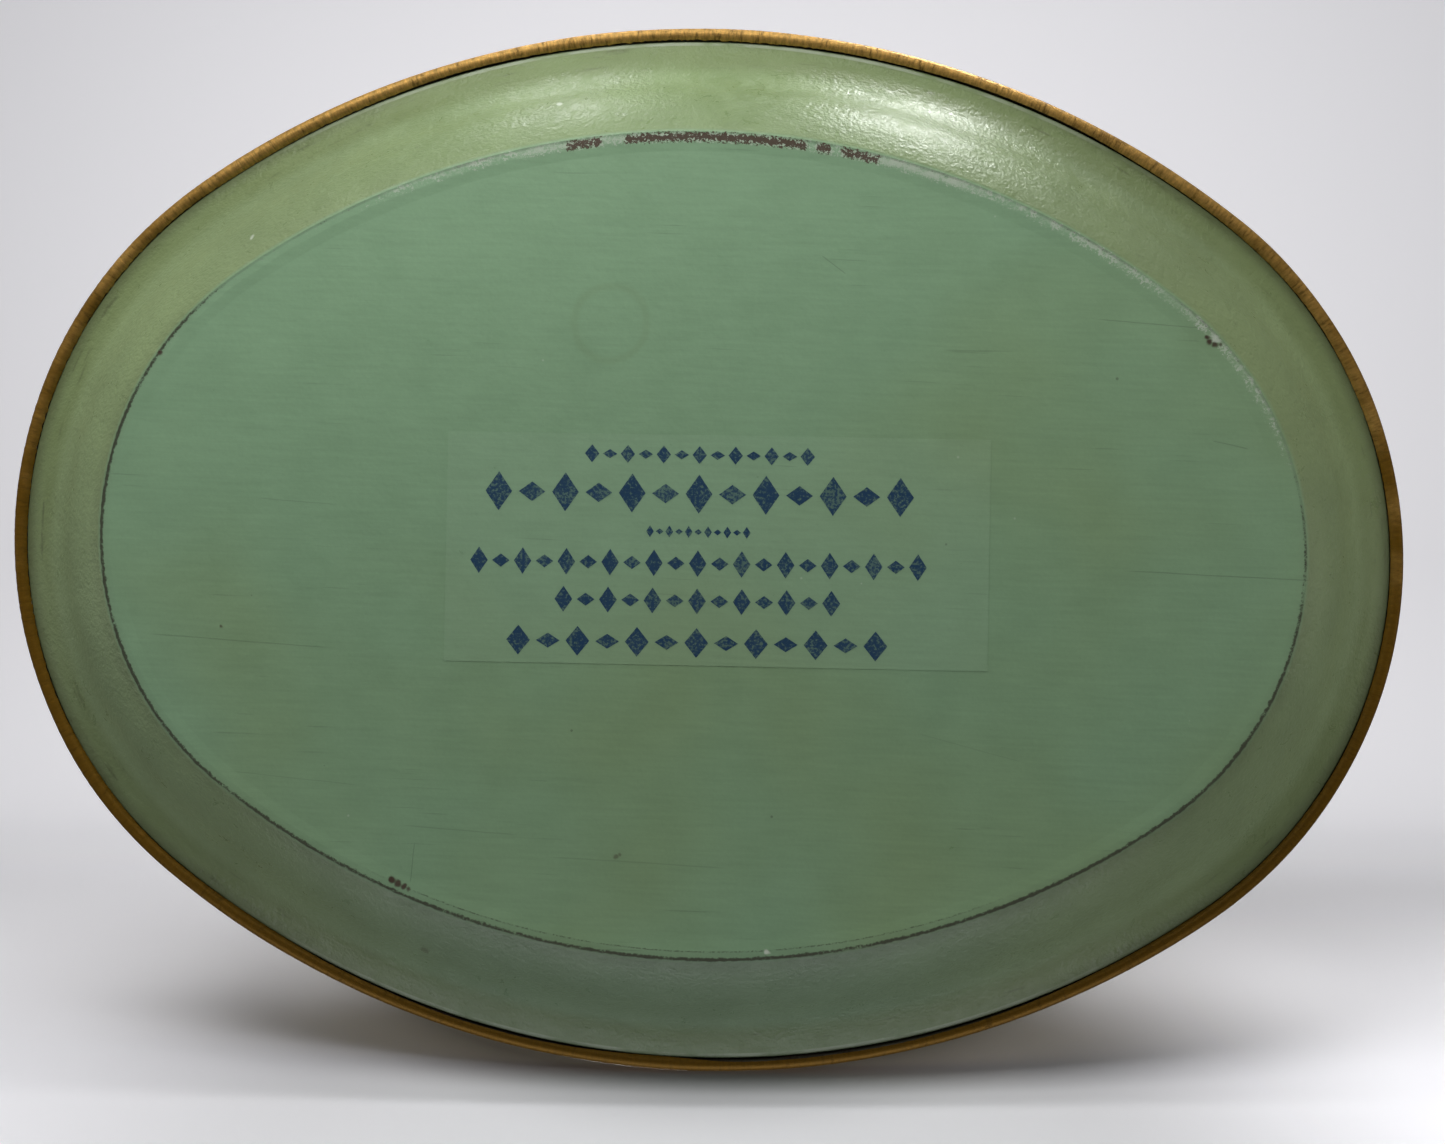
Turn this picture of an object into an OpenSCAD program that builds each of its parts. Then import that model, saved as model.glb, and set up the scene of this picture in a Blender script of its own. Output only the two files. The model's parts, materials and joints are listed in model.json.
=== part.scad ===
// Promotional serving tray: an oval pressed tinplate pan with a curled, wired rim and printed coats.
// The tray lies face up. Z = 0 is the surface it rests on, X is its length and Y its width.

/* [Oval outline] */
// Radius of the two end arcs, measured to the outermost line of the rim
end_radius = 127; // [115:1:150]
// Unit of the 3-4-5 triangle that joins the four arc centres: sets how much longer than wide the oval is
oval_unit = 25.4; // [20:0.2:28]

/* [Pressed section] */
// Thickness of the tinplate
sheet = 0.3; // [0.25:0.01:0.4]
// Height of the floor panel above the foot ring that the tray stands on
panel_lift = 0.2; // [0.2:0.05:0.5]
// Width of the flat foot ring around the floor panel
foot_width = 2; // [1.5:0.1:5]
// Slope of the flange where it leaves the foot ring, in degrees
low_slope = 26; // [20:1:30]
// Slope of the flange at its steepest, half way up, in degrees
steep_slope = 52; // [45:1:56]
// Slope of the flange just below the rim, in degrees
high_slope = 16; // [10:1:20]
// Radius of the hollow lower half of the flange
low_flange_radius = 50.3; // [46:0.1:54]
// Radius of the rounded upper half of the flange
high_flange_radius = 36.7; // [34:0.1:40]

/* [Rim] */
// Outer diameter of the curl
curl_diameter = 4; // [3.4:0.1:4.6]
// How far the sheet goes round the wire, in degrees
curl_wrap = 305; // [270:1:315]
// Diameter of the wire inside the curl
wire_diameter = 3; // [2:0.1:3]
// Gap where the two ends of the wire meet
wire_gap = 0.6; // [0.2:0.1:2]

/* [Coats] */
// Thickness of a printed or stoved coat
coat = 0.1; // [0.08:0.01:0.12]
// Thickness of the clear size and of the ink of the imprint
ink = 0.04; // [0.02:0.01:0.05]

/* [Imprint] */
// Width of the clear panel under the imprint
panel_width = 146; // [130:1:160]
// Depth of the clear panel under the imprint
panel_depth = 62; // [60:1:75]
// How far the clear panel was printed off the middle of the floor, along X
panel_shift = -5; // [-8:0.5:8]
// How far the imprint was turned when it was printed, in degrees
imprint_turn = -1.2; // [-3:0.1:3]
// Height of the tallest row of the imprint
tall_row = 10.5; // [8:0.1:11]

/* [Face print] */
// Number of leaf pairs in one quarter of the wreath
quarter_leaves = 11; // [8:1:14]
// Length of one leaf of the wreath
leaf_length = 15; // [10:0.5:18]

/* [Hidden] */
$fn = 96;

// The four arcs of the oval: a 3-4-5 triangle joins an end centre, a side centre and the middle.
side_radius = end_radius + 5 * oval_unit;
end_centre = 3 * oval_unit;
side_centre = 4 * oval_unit;
half_length = end_radius + end_centre;
half_width = side_radius - side_centre;
reach = 2 * side_radius; // further than any part of the tray, for cutting tools

// The section's middle line is a chain of legs, walked outward from the floor panel. A leg is
// [signed radius, start heading, end heading, steps], or [0, heading, length, 1] for a straight.
step_slope = 8;
step_radius = 2;
crease_radius = 1;
corner_radius = 0.7;
curl_radius = (curl_diameter - sheet) / 2;
panel_overlap = 30;
step_bend_rise = step_radius * (1 - cos(step_slope));
step_run = (panel_lift - 2 * step_bend_rise) / sin(step_slope);
line_slope_low = 29;
line_slope_high = 21;
LEGS = [
    [0, 0, panel_overlap, 1],                                           // 0 floor panel
    [-step_radius, 0, -step_slope, 3],                                  // 1 step down to the foot
    [0, -step_slope, step_run, 1],                                      // 2
    [step_radius, -step_slope, 0, 3],                                   // 3
    [0, 0, foot_width, 1],                                              // 4 foot ring
    [crease_radius, 0, low_slope, 4],                                   // 5 crease
    [low_flange_radius, low_slope, line_slope_low, 1],                  // 6 lower gold line
    [low_flange_radius, line_slope_low, steep_slope, 9],                // 7 lower flange
    [-high_flange_radius, steep_slope, line_slope_high, 10],            // 8 upper flange
    [-high_flange_radius, line_slope_high, high_slope, 2],              // 9 upper gold line
    [corner_radius, high_slope, 90, 6],                                 // 10 corner under the curl
    [-curl_radius, 90, 90 - curl_wrap, 26]                              // 11 curl
];
FIRST_FOOT_LEG = 1;
CREASE_LEG = 5;
LOW_LINE_LEG = 6;
HIGH_LINE_LEG = 9;
CORNER_LEG = 10;
CURL_LEG = 11;

// How far a leg moves the point that walks it, from heading a to heading b.
function leg_move(leg, a, b) = leg[0] == 0
    ? leg[2] * [cos(leg[1]), sin(leg[1])]
    : leg[0] * [sin(b) - sin(a), cos(a) - cos(b)];
function leg_end(leg) = leg_move(leg, leg[1], leg[2]);
function leg_start(i) = i == 0 ? [0, 0] : leg_start(i - 1) + leg_end(LEGS[i - 1]);
// The heading of a leg at a share of its way.
function heading(leg, share) = leg[0] == 0 ? leg[1] : leg[1] + (leg[2] - leg[1]) * share;
// A point of leg i at a share of its way, set off to the face side by off.
function section_point(i, share, off) =
    let (leg = LEGS[i], h = heading(leg, share))
    leg_start(i) + (leg[0] == 0 ? share * leg_end(leg) : leg_move(leg, leg[1], h))
    + off * [-sin(h), cos(h)];
function run_points(from, to, off) = [
    for (i = [from : to]) for (k = [(i == from ? 0 : 1) : LEGS[i][3]])
        section_point(i, k / LEGS[i][3], off)
];
function backward(list) = [for (i = [len(list) - 1 : -1 : 0]) list[i]];

// The section is placed so that the curl's outermost line is at 0 and the foot ring at Z = 0.
curl_centre_walked = leg_start(CURL_LEG) + [curl_radius, 0];
walked_to_section = [
    -curl_centre_walked[0] - curl_diameter / 2,
    sheet / 2 - leg_start(CREASE_LEG)[1]
];
curl_centre = curl_centre_walked + walked_to_section;
crease_offset = leg_start(CREASE_LEG)[0] + walked_to_section[0];
panel_edge = leg_start(FIRST_FOOT_LEG)[0] + walked_to_section[0];
// The inner coats stop just inside the panel's edge, on the flat.
panel_inset = 1;
panel_top = panel_lift + sheet;
face_top = panel_top + coat;
back_level = panel_lift - coat;

// A strip of the section from leg a to leg b, between two offsets from the sheet's middle.
module strip(a, b, low, high) {
    translate(walked_to_section)
        polygon(concat(run_points(a, b, low), backward(run_points(a, b, high))));
}

// A wedge that holds one arc's share of the oval, seen from that arc's centre.
module end_wedge() {
    linear_extrude(height = reach, center = true)
        polygon([[0, 0], reach * [0.6, 0.8], [reach, reach], [reach, -reach], reach * [0.6, -0.8]]);
}
module side_wedge() {
    linear_extrude(height = reach, center = true)
        polygon([[0, 0], reach * [0.6, 0.8], [0, 2 * reach], reach * [-0.6, 0.8]]);
}

// Sweeps a 2D section round the oval. The section's 0 lies on the outermost line of the rim.
module oval_sweep() {
    for (side = [0, 1]) mirror([side, 0, 0])
        translate([end_centre, 0, 0]) intersection() {
            rotate_extrude() translate([end_radius, 0]) children();
            end_wedge();
        }
    for (side = [0, 1]) mirror([0, side, 0])
        translate([0, -side_centre, 0]) intersection() {
            rotate_extrude() translate([side_radius, 0]) children();
            side_wedge();
        }
}

// One quarter of the oval that lies off inside the rim's outermost line, as points.
function arc_point(centre, radius, angle) = centre + radius * [cos(angle), sin(angle)];
join_angle = atan2(4, 3);
oval_steps = 12;
function quarter_points(off) = concat(
    [for (k = [0 : oval_steps - 1])
        arc_point([end_centre, 0], end_radius + off, join_angle * k / oval_steps)],
    [for (k = [0 : oval_steps - 1])
        arc_point([0, -side_centre], side_radius + off, join_angle + (90 - join_angle) * k / oval_steps)]
);
function turned(points, sx, sy) = [for (p = points) [sx * p[0], sy * p[1]]];
module oval_plate(off) {
    q = quarter_points(off);
    top = [0, half_width + off];
    polygon(concat(q, [top], backward(turned(q, -1, 1)),
        [for (i = [1 : len(q) - 1]) [-q[i][0], -q[i][1]]], [-top],
        [for (i = [len(q) - 1 : -1 : 1]) [q[i][0], -q[i][1]]]));
}

// The flat middle of a layer, which reaches just past the inner end of the swept strip.
module flat_middle(z, thickness) {
    translate([0, 0, z]) linear_extrude(height = thickness) oval_plate(panel_edge - panel_overlap / 2);
}

// Pressed tinplate pan: floor panel, foot ring, flange and curl in one sheet.
module tinplate_pan() {
    color("silver") {
        oval_sweep() strip(0, CURL_LEG, -sheet / 2, sheet / 2);
        flat_middle(panel_lift, sheet);
    }
}

// Wire ring inside the curl, with its two ends butted at one end of the tray.
module rim_wire() {
    color("dimgray") difference() {
        oval_sweep() translate(curl_centre) circle(d = wire_diameter);
        translate([half_length - curl_diameter, -wire_gap / 2, 0])
            cube([2 * curl_diameter, wire_gap, 2 * curl_centre[1]]);
    }
}

// A flat coat on the floor panel.
module panel_coat(z, thickness) {
    translate([0, 0, z]) linear_extrude(height = thickness) oval_plate(panel_edge - panel_inset);
}

// Green enamel on the back: the floor panel and the flange are worn apart by the foot ring.
module back_enamel_floor() {
    color("darkseagreen") panel_coat(back_level, coat);
}
module back_enamel_flange() {
    color("darkseagreen")
        oval_sweep() strip(LOW_LINE_LEG, HIGH_LINE_LEG, -sheet / 2 - coat, -sheet / 2);
}

// Gold lacquer on the outside of the curl and over the corner.
module rim_gilding() {
    color("darkgoldenrod")
        oval_sweep() strip(CORNER_LEG, CURL_LEG, sheet / 2, sheet / 2 + coat);
}

// Gold lines that frame the flange on the face.
module face_gold_lines() {
    color("goldenrod") {
        oval_sweep() strip(LOW_LINE_LEG, LOW_LINE_LEG, sheet / 2, sheet / 2 + coat);
        oval_sweep() strip(HIGH_LINE_LEG, HIGH_LINE_LEG, sheet / 2, sheet / 2 + coat);
    }
}

// Dark ground on the face of the flange, between the gold lines, and over the foot ring.
module face_flange_ground() {
    color("darkgreen") {
        oval_sweep() strip(LOW_LINE_LEG + 1, HIGH_LINE_LEG - 1, sheet / 2, sheet / 2 + coat);
        oval_sweep() strip(FIRST_FOOT_LEG, CREASE_LEG, sheet / 2, sheet / 2 + coat);
    }
}

// The wreath follows an oval inside the floor panel.
wreath_offset = panel_edge - 26;
leaf_width = leaf_length / 3;
berry_diameter = 3;
// Place and heading, in degrees, of a point at a share of a quarter of the wreath's oval.
end_share = (end_radius + wreath_offset) * join_angle
    / ((end_radius + wreath_offset) * join_angle + (side_radius + wreath_offset) * (90 - join_angle));
function wreath_angle(share) = share < end_share
    ? join_angle * share / end_share
    : join_angle + (90 - join_angle) * (share - end_share) / (1 - end_share);
function wreath_point(share) = share < end_share
    ? arc_point([end_centre, 0], end_radius + wreath_offset, wreath_angle(share))
    : arc_point([0, -side_centre], side_radius + wreath_offset, wreath_angle(share));

// A leaf is where two discs cross. It points along +X from its stalk.
module leaf() {
    bow = (pow(leaf_length / 2, 2) - pow(leaf_width / 2, 2)) / leaf_width;
    disc = bow + leaf_width / 2;
    intersection() {
        translate([leaf_length / 2, bow]) circle(r = disc);
        translate([leaf_length / 2, -bow]) circle(r = disc);
    }
}
leaf_spread = 32;
leaf_stalk = 2.2;
module quarter_leaf_pairs() {
    for (i = [0 : quarter_leaves - 1]) {
        share = (i + 0.5) / quarter_leaves;
        translate(wreath_point(share)) rotate(wreath_angle(share) + 90)
            for (turn = [-leaf_spread, leaf_spread])
                rotate(turn) translate([leaf_stalk, 0]) leaf();
    }
}
module quarter_berry_row() {
    for (i = [0 : quarter_leaves - 1])
        translate(wreath_point((i + 0.5) / quarter_leaves)) circle(d = berry_diameter);
}
module four_quarters() {
    for (sx = [0, 1]) for (sy = [0, 1]) mirror([sx, 0]) mirror([0, sy]) children();
}

// Cream ground on the face of the floor panel, with the wreath inlaid in it.
module face_floor_ground() {
    color("cornsilk") difference() {
        panel_coat(panel_top, coat);
        translate([0, 0, panel_top - coat]) linear_extrude(height = 3 * coat) four_quarters() {
            quarter_leaf_pairs();
            quarter_berry_row();
        }
    }
}
module wreath_leaves() {
    color("olivedrab") translate([0, 0, panel_top]) linear_extrude(height = coat)
        four_quarters() quarter_leaf_pairs();
}
module wreath_berries() {
    color("firebrick") translate([0, 0, panel_top]) linear_extrude(height = coat)
        four_quarters() quarter_berry_row();
}

// Clear size panel that the imprint is printed on, on the back of the floor.
module imprint_size_panel() {
    color("palegreen") rotate(imprint_turn)
        translate([panel_shift - panel_width / 2, -1.5 - panel_depth / 2, back_level - ink])
            cube([panel_width, panel_depth, ink]);
}

// Printer's ornament in place of lettering. A row is [height in tall rows, level from the top,
// number of lozenges, half length of the row].
ROWS = [
    [0.46, 24.1, 13, 29],
    [1.00, 13.6, 13, 54],
    [0.30, 3.4, 11, 13],
    [0.68, -5.1, 21, 59],
    [0.66, -15.2, 13, 36],
    [0.76, -26.4, 13, 48]
];
module lozenge(w, h) {
    polygon([[-w / 2, 0], [0, -h / 2], [w / 2, 0], [0, h / 2]]);
}
module imprint_ink_rows() {
    color("midnightblue") rotate(imprint_turn) translate([0, 0, back_level - 2 * ink])
        linear_extrude(height = ink) for (row = ROWS) {
            h = row[0] * tall_row;
            pitch = 2 * row[3] / (row[2] - 1);
            for (k = [0 : row[2] - 1]) translate([-row[3] + k * pitch, row[1]])
                lozenge(pitch * 0.8, k % 2 == 0 ? h : h / 2);
        }
}

tinplate_pan();
rim_wire();
back_enamel_floor();
back_enamel_flange();
rim_gilding();
face_floor_ground();
face_flange_ground();
face_gold_lines();
wreath_leaves();
wreath_berries();
imprint_size_panel();
imprint_ink_rows();
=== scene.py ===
"""Looks of an oval tinplate serving tray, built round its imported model.

The tray lies face up, in metres: X runs along its length, Y across it and Z up out of its face.
The pan is one sheet that follows a four-centred oval, and every coat on it is a thin closed
skin swept round the same oval.
"""

from __future__ import annotations

import json
import logging
import math
from dataclasses import dataclass, field
from enum import Enum
from typing import Any, Iterable, Union

import bpy
import numpy as np
from mathutils import Euler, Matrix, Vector


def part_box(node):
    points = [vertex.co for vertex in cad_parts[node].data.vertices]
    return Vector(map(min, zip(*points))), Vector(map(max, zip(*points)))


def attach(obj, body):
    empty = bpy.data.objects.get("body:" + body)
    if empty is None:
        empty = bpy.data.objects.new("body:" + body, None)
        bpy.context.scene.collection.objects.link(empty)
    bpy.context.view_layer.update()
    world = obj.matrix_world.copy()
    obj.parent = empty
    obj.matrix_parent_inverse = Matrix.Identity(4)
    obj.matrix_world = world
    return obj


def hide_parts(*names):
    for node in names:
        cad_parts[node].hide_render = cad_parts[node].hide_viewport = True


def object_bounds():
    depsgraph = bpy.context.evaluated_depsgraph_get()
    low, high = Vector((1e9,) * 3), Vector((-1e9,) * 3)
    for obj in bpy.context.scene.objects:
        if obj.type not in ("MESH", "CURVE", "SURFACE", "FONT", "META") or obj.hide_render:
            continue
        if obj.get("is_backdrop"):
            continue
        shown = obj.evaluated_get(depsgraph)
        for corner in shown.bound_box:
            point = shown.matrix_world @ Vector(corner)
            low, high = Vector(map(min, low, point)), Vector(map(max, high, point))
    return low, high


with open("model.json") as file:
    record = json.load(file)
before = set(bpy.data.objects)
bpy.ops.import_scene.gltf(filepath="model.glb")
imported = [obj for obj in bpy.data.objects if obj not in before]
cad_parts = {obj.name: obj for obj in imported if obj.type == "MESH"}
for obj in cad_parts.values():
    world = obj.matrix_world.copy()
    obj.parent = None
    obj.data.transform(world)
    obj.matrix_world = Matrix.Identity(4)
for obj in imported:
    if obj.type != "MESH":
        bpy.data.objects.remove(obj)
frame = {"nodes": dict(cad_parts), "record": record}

LOG = logging.getLogger("tray")
MM = 0.001
DEGREE = math.pi / 180
SHARP = 50 * DEGREE
ENAMEL_RELIEF = 0.012 * MM
BODY = "root"
Colour = tuple[float, float, float]


def paint(red: float, green: float, blue: float) -> Colour:
    """A colour for a node's socket, from the 0 to 255 values that a paint chart gives.

    Args:
        red, green, blue: Display values from 0 to 255.

    Returns:
        The same colour as three linear values from 0 to 1.
    """

    def linear(value: float) -> float:
        """One display value from 0 to 255, made linear."""
        share = value / 255
        return share / 12.92 if share <= 0.04045 else ((share + 0.055) / 1.055) ** 2.4

    return linear(red), linear(green), linear(blue)


# --------------------------------------------------------------------------- shape


@dataclass(frozen=True)
class Stations:
    """Places spaced evenly round the rim, where a section is drawn.

    Attributes:
        hub: Centre of the arc that each place is on.
        radius: Radius of that arc at the rim's outermost line.
        outward: Direction out of the oval at each place.
        along: Distance of each place round the rim.
        girth: Length of the whole rim line.
    """

    hub: np.ndarray
    radius: np.ndarray
    outward: np.ndarray
    along: np.ndarray
    girth: float

    @property
    def bearing(self) -> np.ndarray:
        """Each place's direction from the tray's middle, in degrees from +X."""
        rim = self.hub + self.radius[:, None] * self.outward
        return np.degrees(np.arctan2(rim[:, 1], rim[:, 0]))

    def place(self, offset: np.ndarray, height: np.ndarray) -> np.ndarray:
        """Puts section points into space.

        Args:
            offset: Distance outward from the rim line, one row for each station.
            height: Height of each of those points.

        Returns:
            An array of points: station, place in the section, coordinate.
        """
        reach = self.radius[:, None] + offset
        flat = self.hub[:, None, :] + reach[:, :, None] * self.outward[:, None, :]
        return np.concatenate([flat, height[:, :, None]], axis=2)


@dataclass(frozen=True)
class Oval:
    """The rim's outermost line: four arcs whose centres stand on 3-4-5 triangles."""

    half_length: float
    half_width: float

    @property
    def unit(self) -> float:
        """One fifth of the long side of the triangle that joins the arcs' centres."""
        return (self.half_length - self.half_width) / 2

    @property
    def end_radius(self) -> float:
        """Radius of the two end arcs."""
        return self.half_width - self.unit

    @property
    def side_radius(self) -> float:
        """Radius of the two side arcs."""
        return self.end_radius + 5 * self.unit

    def stations(self, count: int) -> Stations:
        """Spaces places evenly round the rim line, from +X towards +Y.

        Args:
            count: How many places.

        Returns:
            The places.
        """
        join = math.atan2(4, 3)
        spans = np.array([join, math.pi - 2 * join, 2 * join, math.pi - 2 * join, join])
        radii = np.array([self.end_radius, self.side_radius] * 2 + [self.end_radius])
        hubs = self.unit * np.array([[3, 0], [0, -4], [-3, 0], [0, 4], [3, 0]])
        ends = np.cumsum(spans * radii)
        along = np.arange(count) * ends[-1] / count
        arc = np.searchsorted(ends, along, side="right")
        before = np.concatenate([[0], ends])[arc]
        turn = np.concatenate([[0], np.cumsum(spans)])[arc] + (along - before) / radii[arc]
        outward = np.stack([np.cos(turn), np.sin(turn)], axis=1)
        return Stations(hubs[arc], radii[arc], outward, along, float(ends[-1]))


@dataclass(frozen=True)
class Leg:
    """One stretch of the sheet's section: a bend, or a straight one if its radius is 0.

    Attributes:
        start: Heading at its start, in degrees above level.
        end: Heading at its end.
        radius: Radius of the sheet's middle, below 0 if it bends back down.
        length: Length of a straight stretch.
        steps: How many faces it gets.
    """

    start: float
    end: float
    radius: float = 0.0
    length: float = 0.0
    steps: int = 1

    @property
    def reach(self) -> float:
        """Length of the sheet's middle along this stretch."""
        return self.length or abs(self.radius * (self.end - self.start) * DEGREE)

    def points(self, share: np.ndarray) -> tuple[np.ndarray, np.ndarray, np.ndarray]:
        """Walks the stretch.

        Args:
            share: Shares of the way, from 0 to 1.

        Returns:
            How far out and up each share lies from the start, and the heading there.
        """
        heading = (self.start + (self.end - self.start) * share) * DEGREE
        if not self.radius:
            return self.length * share * np.cos(heading), self.length * share * np.sin(heading), heading
        first = self.start * DEGREE
        out = self.radius * (np.sin(heading) - math.sin(first))
        up = self.radius * (math.cos(first) - np.cos(heading))
        return out, up, heading


@dataclass
class Run:
    """Part of the sheet's middle line at every station.

    Attributes:
        offset: Distance outward from the rim line.
        height: Height.
        heading: Heading of the line, in radians.
        path: Distance along the section from the crease, below 0 inside it.
    """

    offset: np.ndarray
    height: np.ndarray
    heading: np.ndarray
    path: np.ndarray

    def surface(self, off: Union[float, np.ndarray]) -> tuple[np.ndarray, np.ndarray]:
        """A line parallel to the sheet's middle.

        Args:
            off: Distance from the middle, above 0 on the face side.

        Returns:
            Its offsets and heights.
        """
        return (
            self.offset - off * np.sin(self.heading),
            self.height + off * np.cos(self.heading),
        )

    def part(self, first: int, last: int) -> "Run":
        """The points from first to last, both kept."""
        keep = slice(first, last + 1)
        return Run(*(v[:, keep] for v in (self.offset, self.height, self.heading, self.path)))


@dataclass(frozen=True)
class Ripple:
    """Unevenness that repeats round the rim, as a sum of waves.

    Attributes:
        longest: Longest wave.
        shortest: Shortest wave.
        seed: Which draw of waves.
    """

    longest: float
    shortest: float
    seed: int

    def at(self, along: np.ndarray, girth: float) -> np.ndarray:
        """The unevenness at some places round the rim.

        Args:
            along: Distance of each place round the rim.
            girth: Length of the whole rim line.

        Returns:
            One value for each place, usually from -2 to 2.
        """
        draw = np.random.default_rng(self.seed)
        counts = np.arange(math.ceil(girth / self.longest), int(girth / self.shortest) + 1)
        phases = draw.uniform(0, 2 * math.pi, len(counts))
        sizes = draw.uniform(0.3, 1, len(counts))
        sizes /= np.sqrt((sizes**2).sum() / 2)
        turns = 2 * math.pi * along[:, None] * counts[None, :] / girth
        return (sizes * np.sin(turns + phases)).sum(axis=1)


@dataclass(frozen=True)
class Section:
    """The pressed sheet's section, from the floor panel out to the curl's raw edge.

    Lengths and radii are of the sheet's middle. Offsets count outward from the rim's outermost line.

    Attributes:
        sheet: Thickness of the tinplate.
        coat: Thickness of a coat.
        panel_lift: How far the floor panel stands above the foot ring.
        foot_width: Width of the flat foot ring.
        step_slope: Slope of the step between the two, in degrees.
        step_radius: Radius of each of the step's bends.
        crease_radius: Radius of the bend from the foot ring into the flange.
        corner_radius: Radius of the bend from the flange into the curl.
        curl_diameter: Outside diameter of the curl.
        low_radius: Radius of the flange's lower part, which bends up.
        high_radius: Radius of its upper part, which bends back towards level.
        slopes: Its slope in degrees at its foot, past the low gold line, where it is
            steepest, before the high gold line and at its top.
    """

    sheet: float = 0.3 * MM
    coat: float = 0.1 * MM
    panel_lift: float = 0.2 * MM
    foot_width: float = 2 * MM
    step_slope: float = 4
    step_radius: float = 6 * MM
    crease_radius: float = 1 * MM
    corner_radius: float = 0.7 * MM
    curl_diameter: float = 4 * MM
    low_radius: float = 50.3 * MM
    high_radius: float = 36.7 * MM
    slopes: tuple[float, float, float, float, float] = (26, 29, 52, 21, 16)

    @property
    def curl_radius(self) -> float:
        """Radius of the sheet's middle in the curl."""
        return (self.curl_diameter - self.sheet) / 2

    @property
    def legs(self) -> dict[str, Leg]:
        """The stretches in order, from the floor panel's edge to the foot of the curl.

        Returns:
            Each stretch under its name.
        """
        low, low_line, steep, high_line, high = self.slopes
        step, bend = self.step_slope, self.step_radius
        rise = self.panel_lift - 2 * bend * (1 - math.cos(step * DEGREE))
        return {
            "step_down": Leg(0, -step, radius=-bend, steps=4),
            "step": Leg(-step, -step, length=rise / math.sin(step * DEGREE)),
            "step_up": Leg(-step, 0, radius=bend, steps=4),
            "foot": Leg(0, 0, length=self.foot_width, steps=3),
            "crease": Leg(0, low, radius=self.crease_radius, steps=4),
            "low_line": Leg(low, low_line, radius=self.low_radius, steps=2),
            "low_flange": Leg(low_line, steep, radius=self.low_radius, steps=10),
            "high_flange": Leg(steep, high_line, radius=-self.high_radius, steps=10),
            "high_line": Leg(high_line, high, radius=-self.high_radius, steps=2),
            "corner": Leg(high, 90, radius=self.corner_radius, steps=6),
        }

    def span(self, first: str, last: str) -> tuple[int, int]:
        """Finds some stretches among the walk's points.

        Args:
            first: Name of the first stretch.
            last: Name of the last one.

        Returns:
            The number of the point where they begin, and of the one where they end.
        """
        names = list(self.legs)
        steps = [leg.steps for leg in self.legs.values()]
        return sum(steps[: names.index(first)]), sum(steps[: names.index(last) + 1])

    def walk(self, count: int) -> Run:
        """The sheet's middle from the floor panel's edge to the foot of the curl.

        Args:
            count: How many stations.

        Returns:
            The same line for every station.
        """
        columns: list[np.ndarray] = [np.zeros((4, 1))]
        out, up, far = 0.0, 0.0, 0.0
        for leg in self.legs.values():
            share = np.arange(1, leg.steps + 1) / leg.steps
            x, z, heading = leg.points(share)
            columns.append(np.stack([out + x, up + z, heading, far + leg.reach * share]))
            out, up, far = out + x[-1], up + z[-1], far + leg.reach
        line = np.concatenate(columns, axis=1)
        crease = self.span("foot", "foot")[1]
        line[0] -= line[0, -1] + self.curl_diameter - self.sheet / 2
        line[1] += self.sheet / 2 - line[1, crease]
        line[3] -= line[3, crease]
        return Run(*(np.tile(row, (count, 1)) for row in line))

    def curl(self, foot: Run, wrap: np.ndarray, swell: np.ndarray, steps: int) -> Run:
        """The sheet's middle round the curl.

        Args:
            foot: The walk that ends at the foot of the curl.
            wrap: How far round the sheet goes at each station, in degrees.
            swell: How much each point stands out of the true circle.
            steps: How many faces the curl gets.

        Returns:
            The curl's line, from its foot to the sheet's raw edge.
        """
        share = np.linspace(0, 1, steps + 1)[None, :]
        heading = (90 - wrap[:, None] * share) * DEGREE
        centre_out = foot.offset[:, -1:] + self.curl_radius
        ease = np.minimum(share * 6, 1)
        radius = self.curl_radius + swell * ease
        return Run(
            centre_out - radius * np.sin(heading),
            foot.height[:, -1:] + radius * np.cos(heading),
            heading,
            foot.path[:, -1:] + self.curl_radius * wrap[:, None] * DEGREE * share,
        )


# --------------------------------------------------------------------------- meshes


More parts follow.
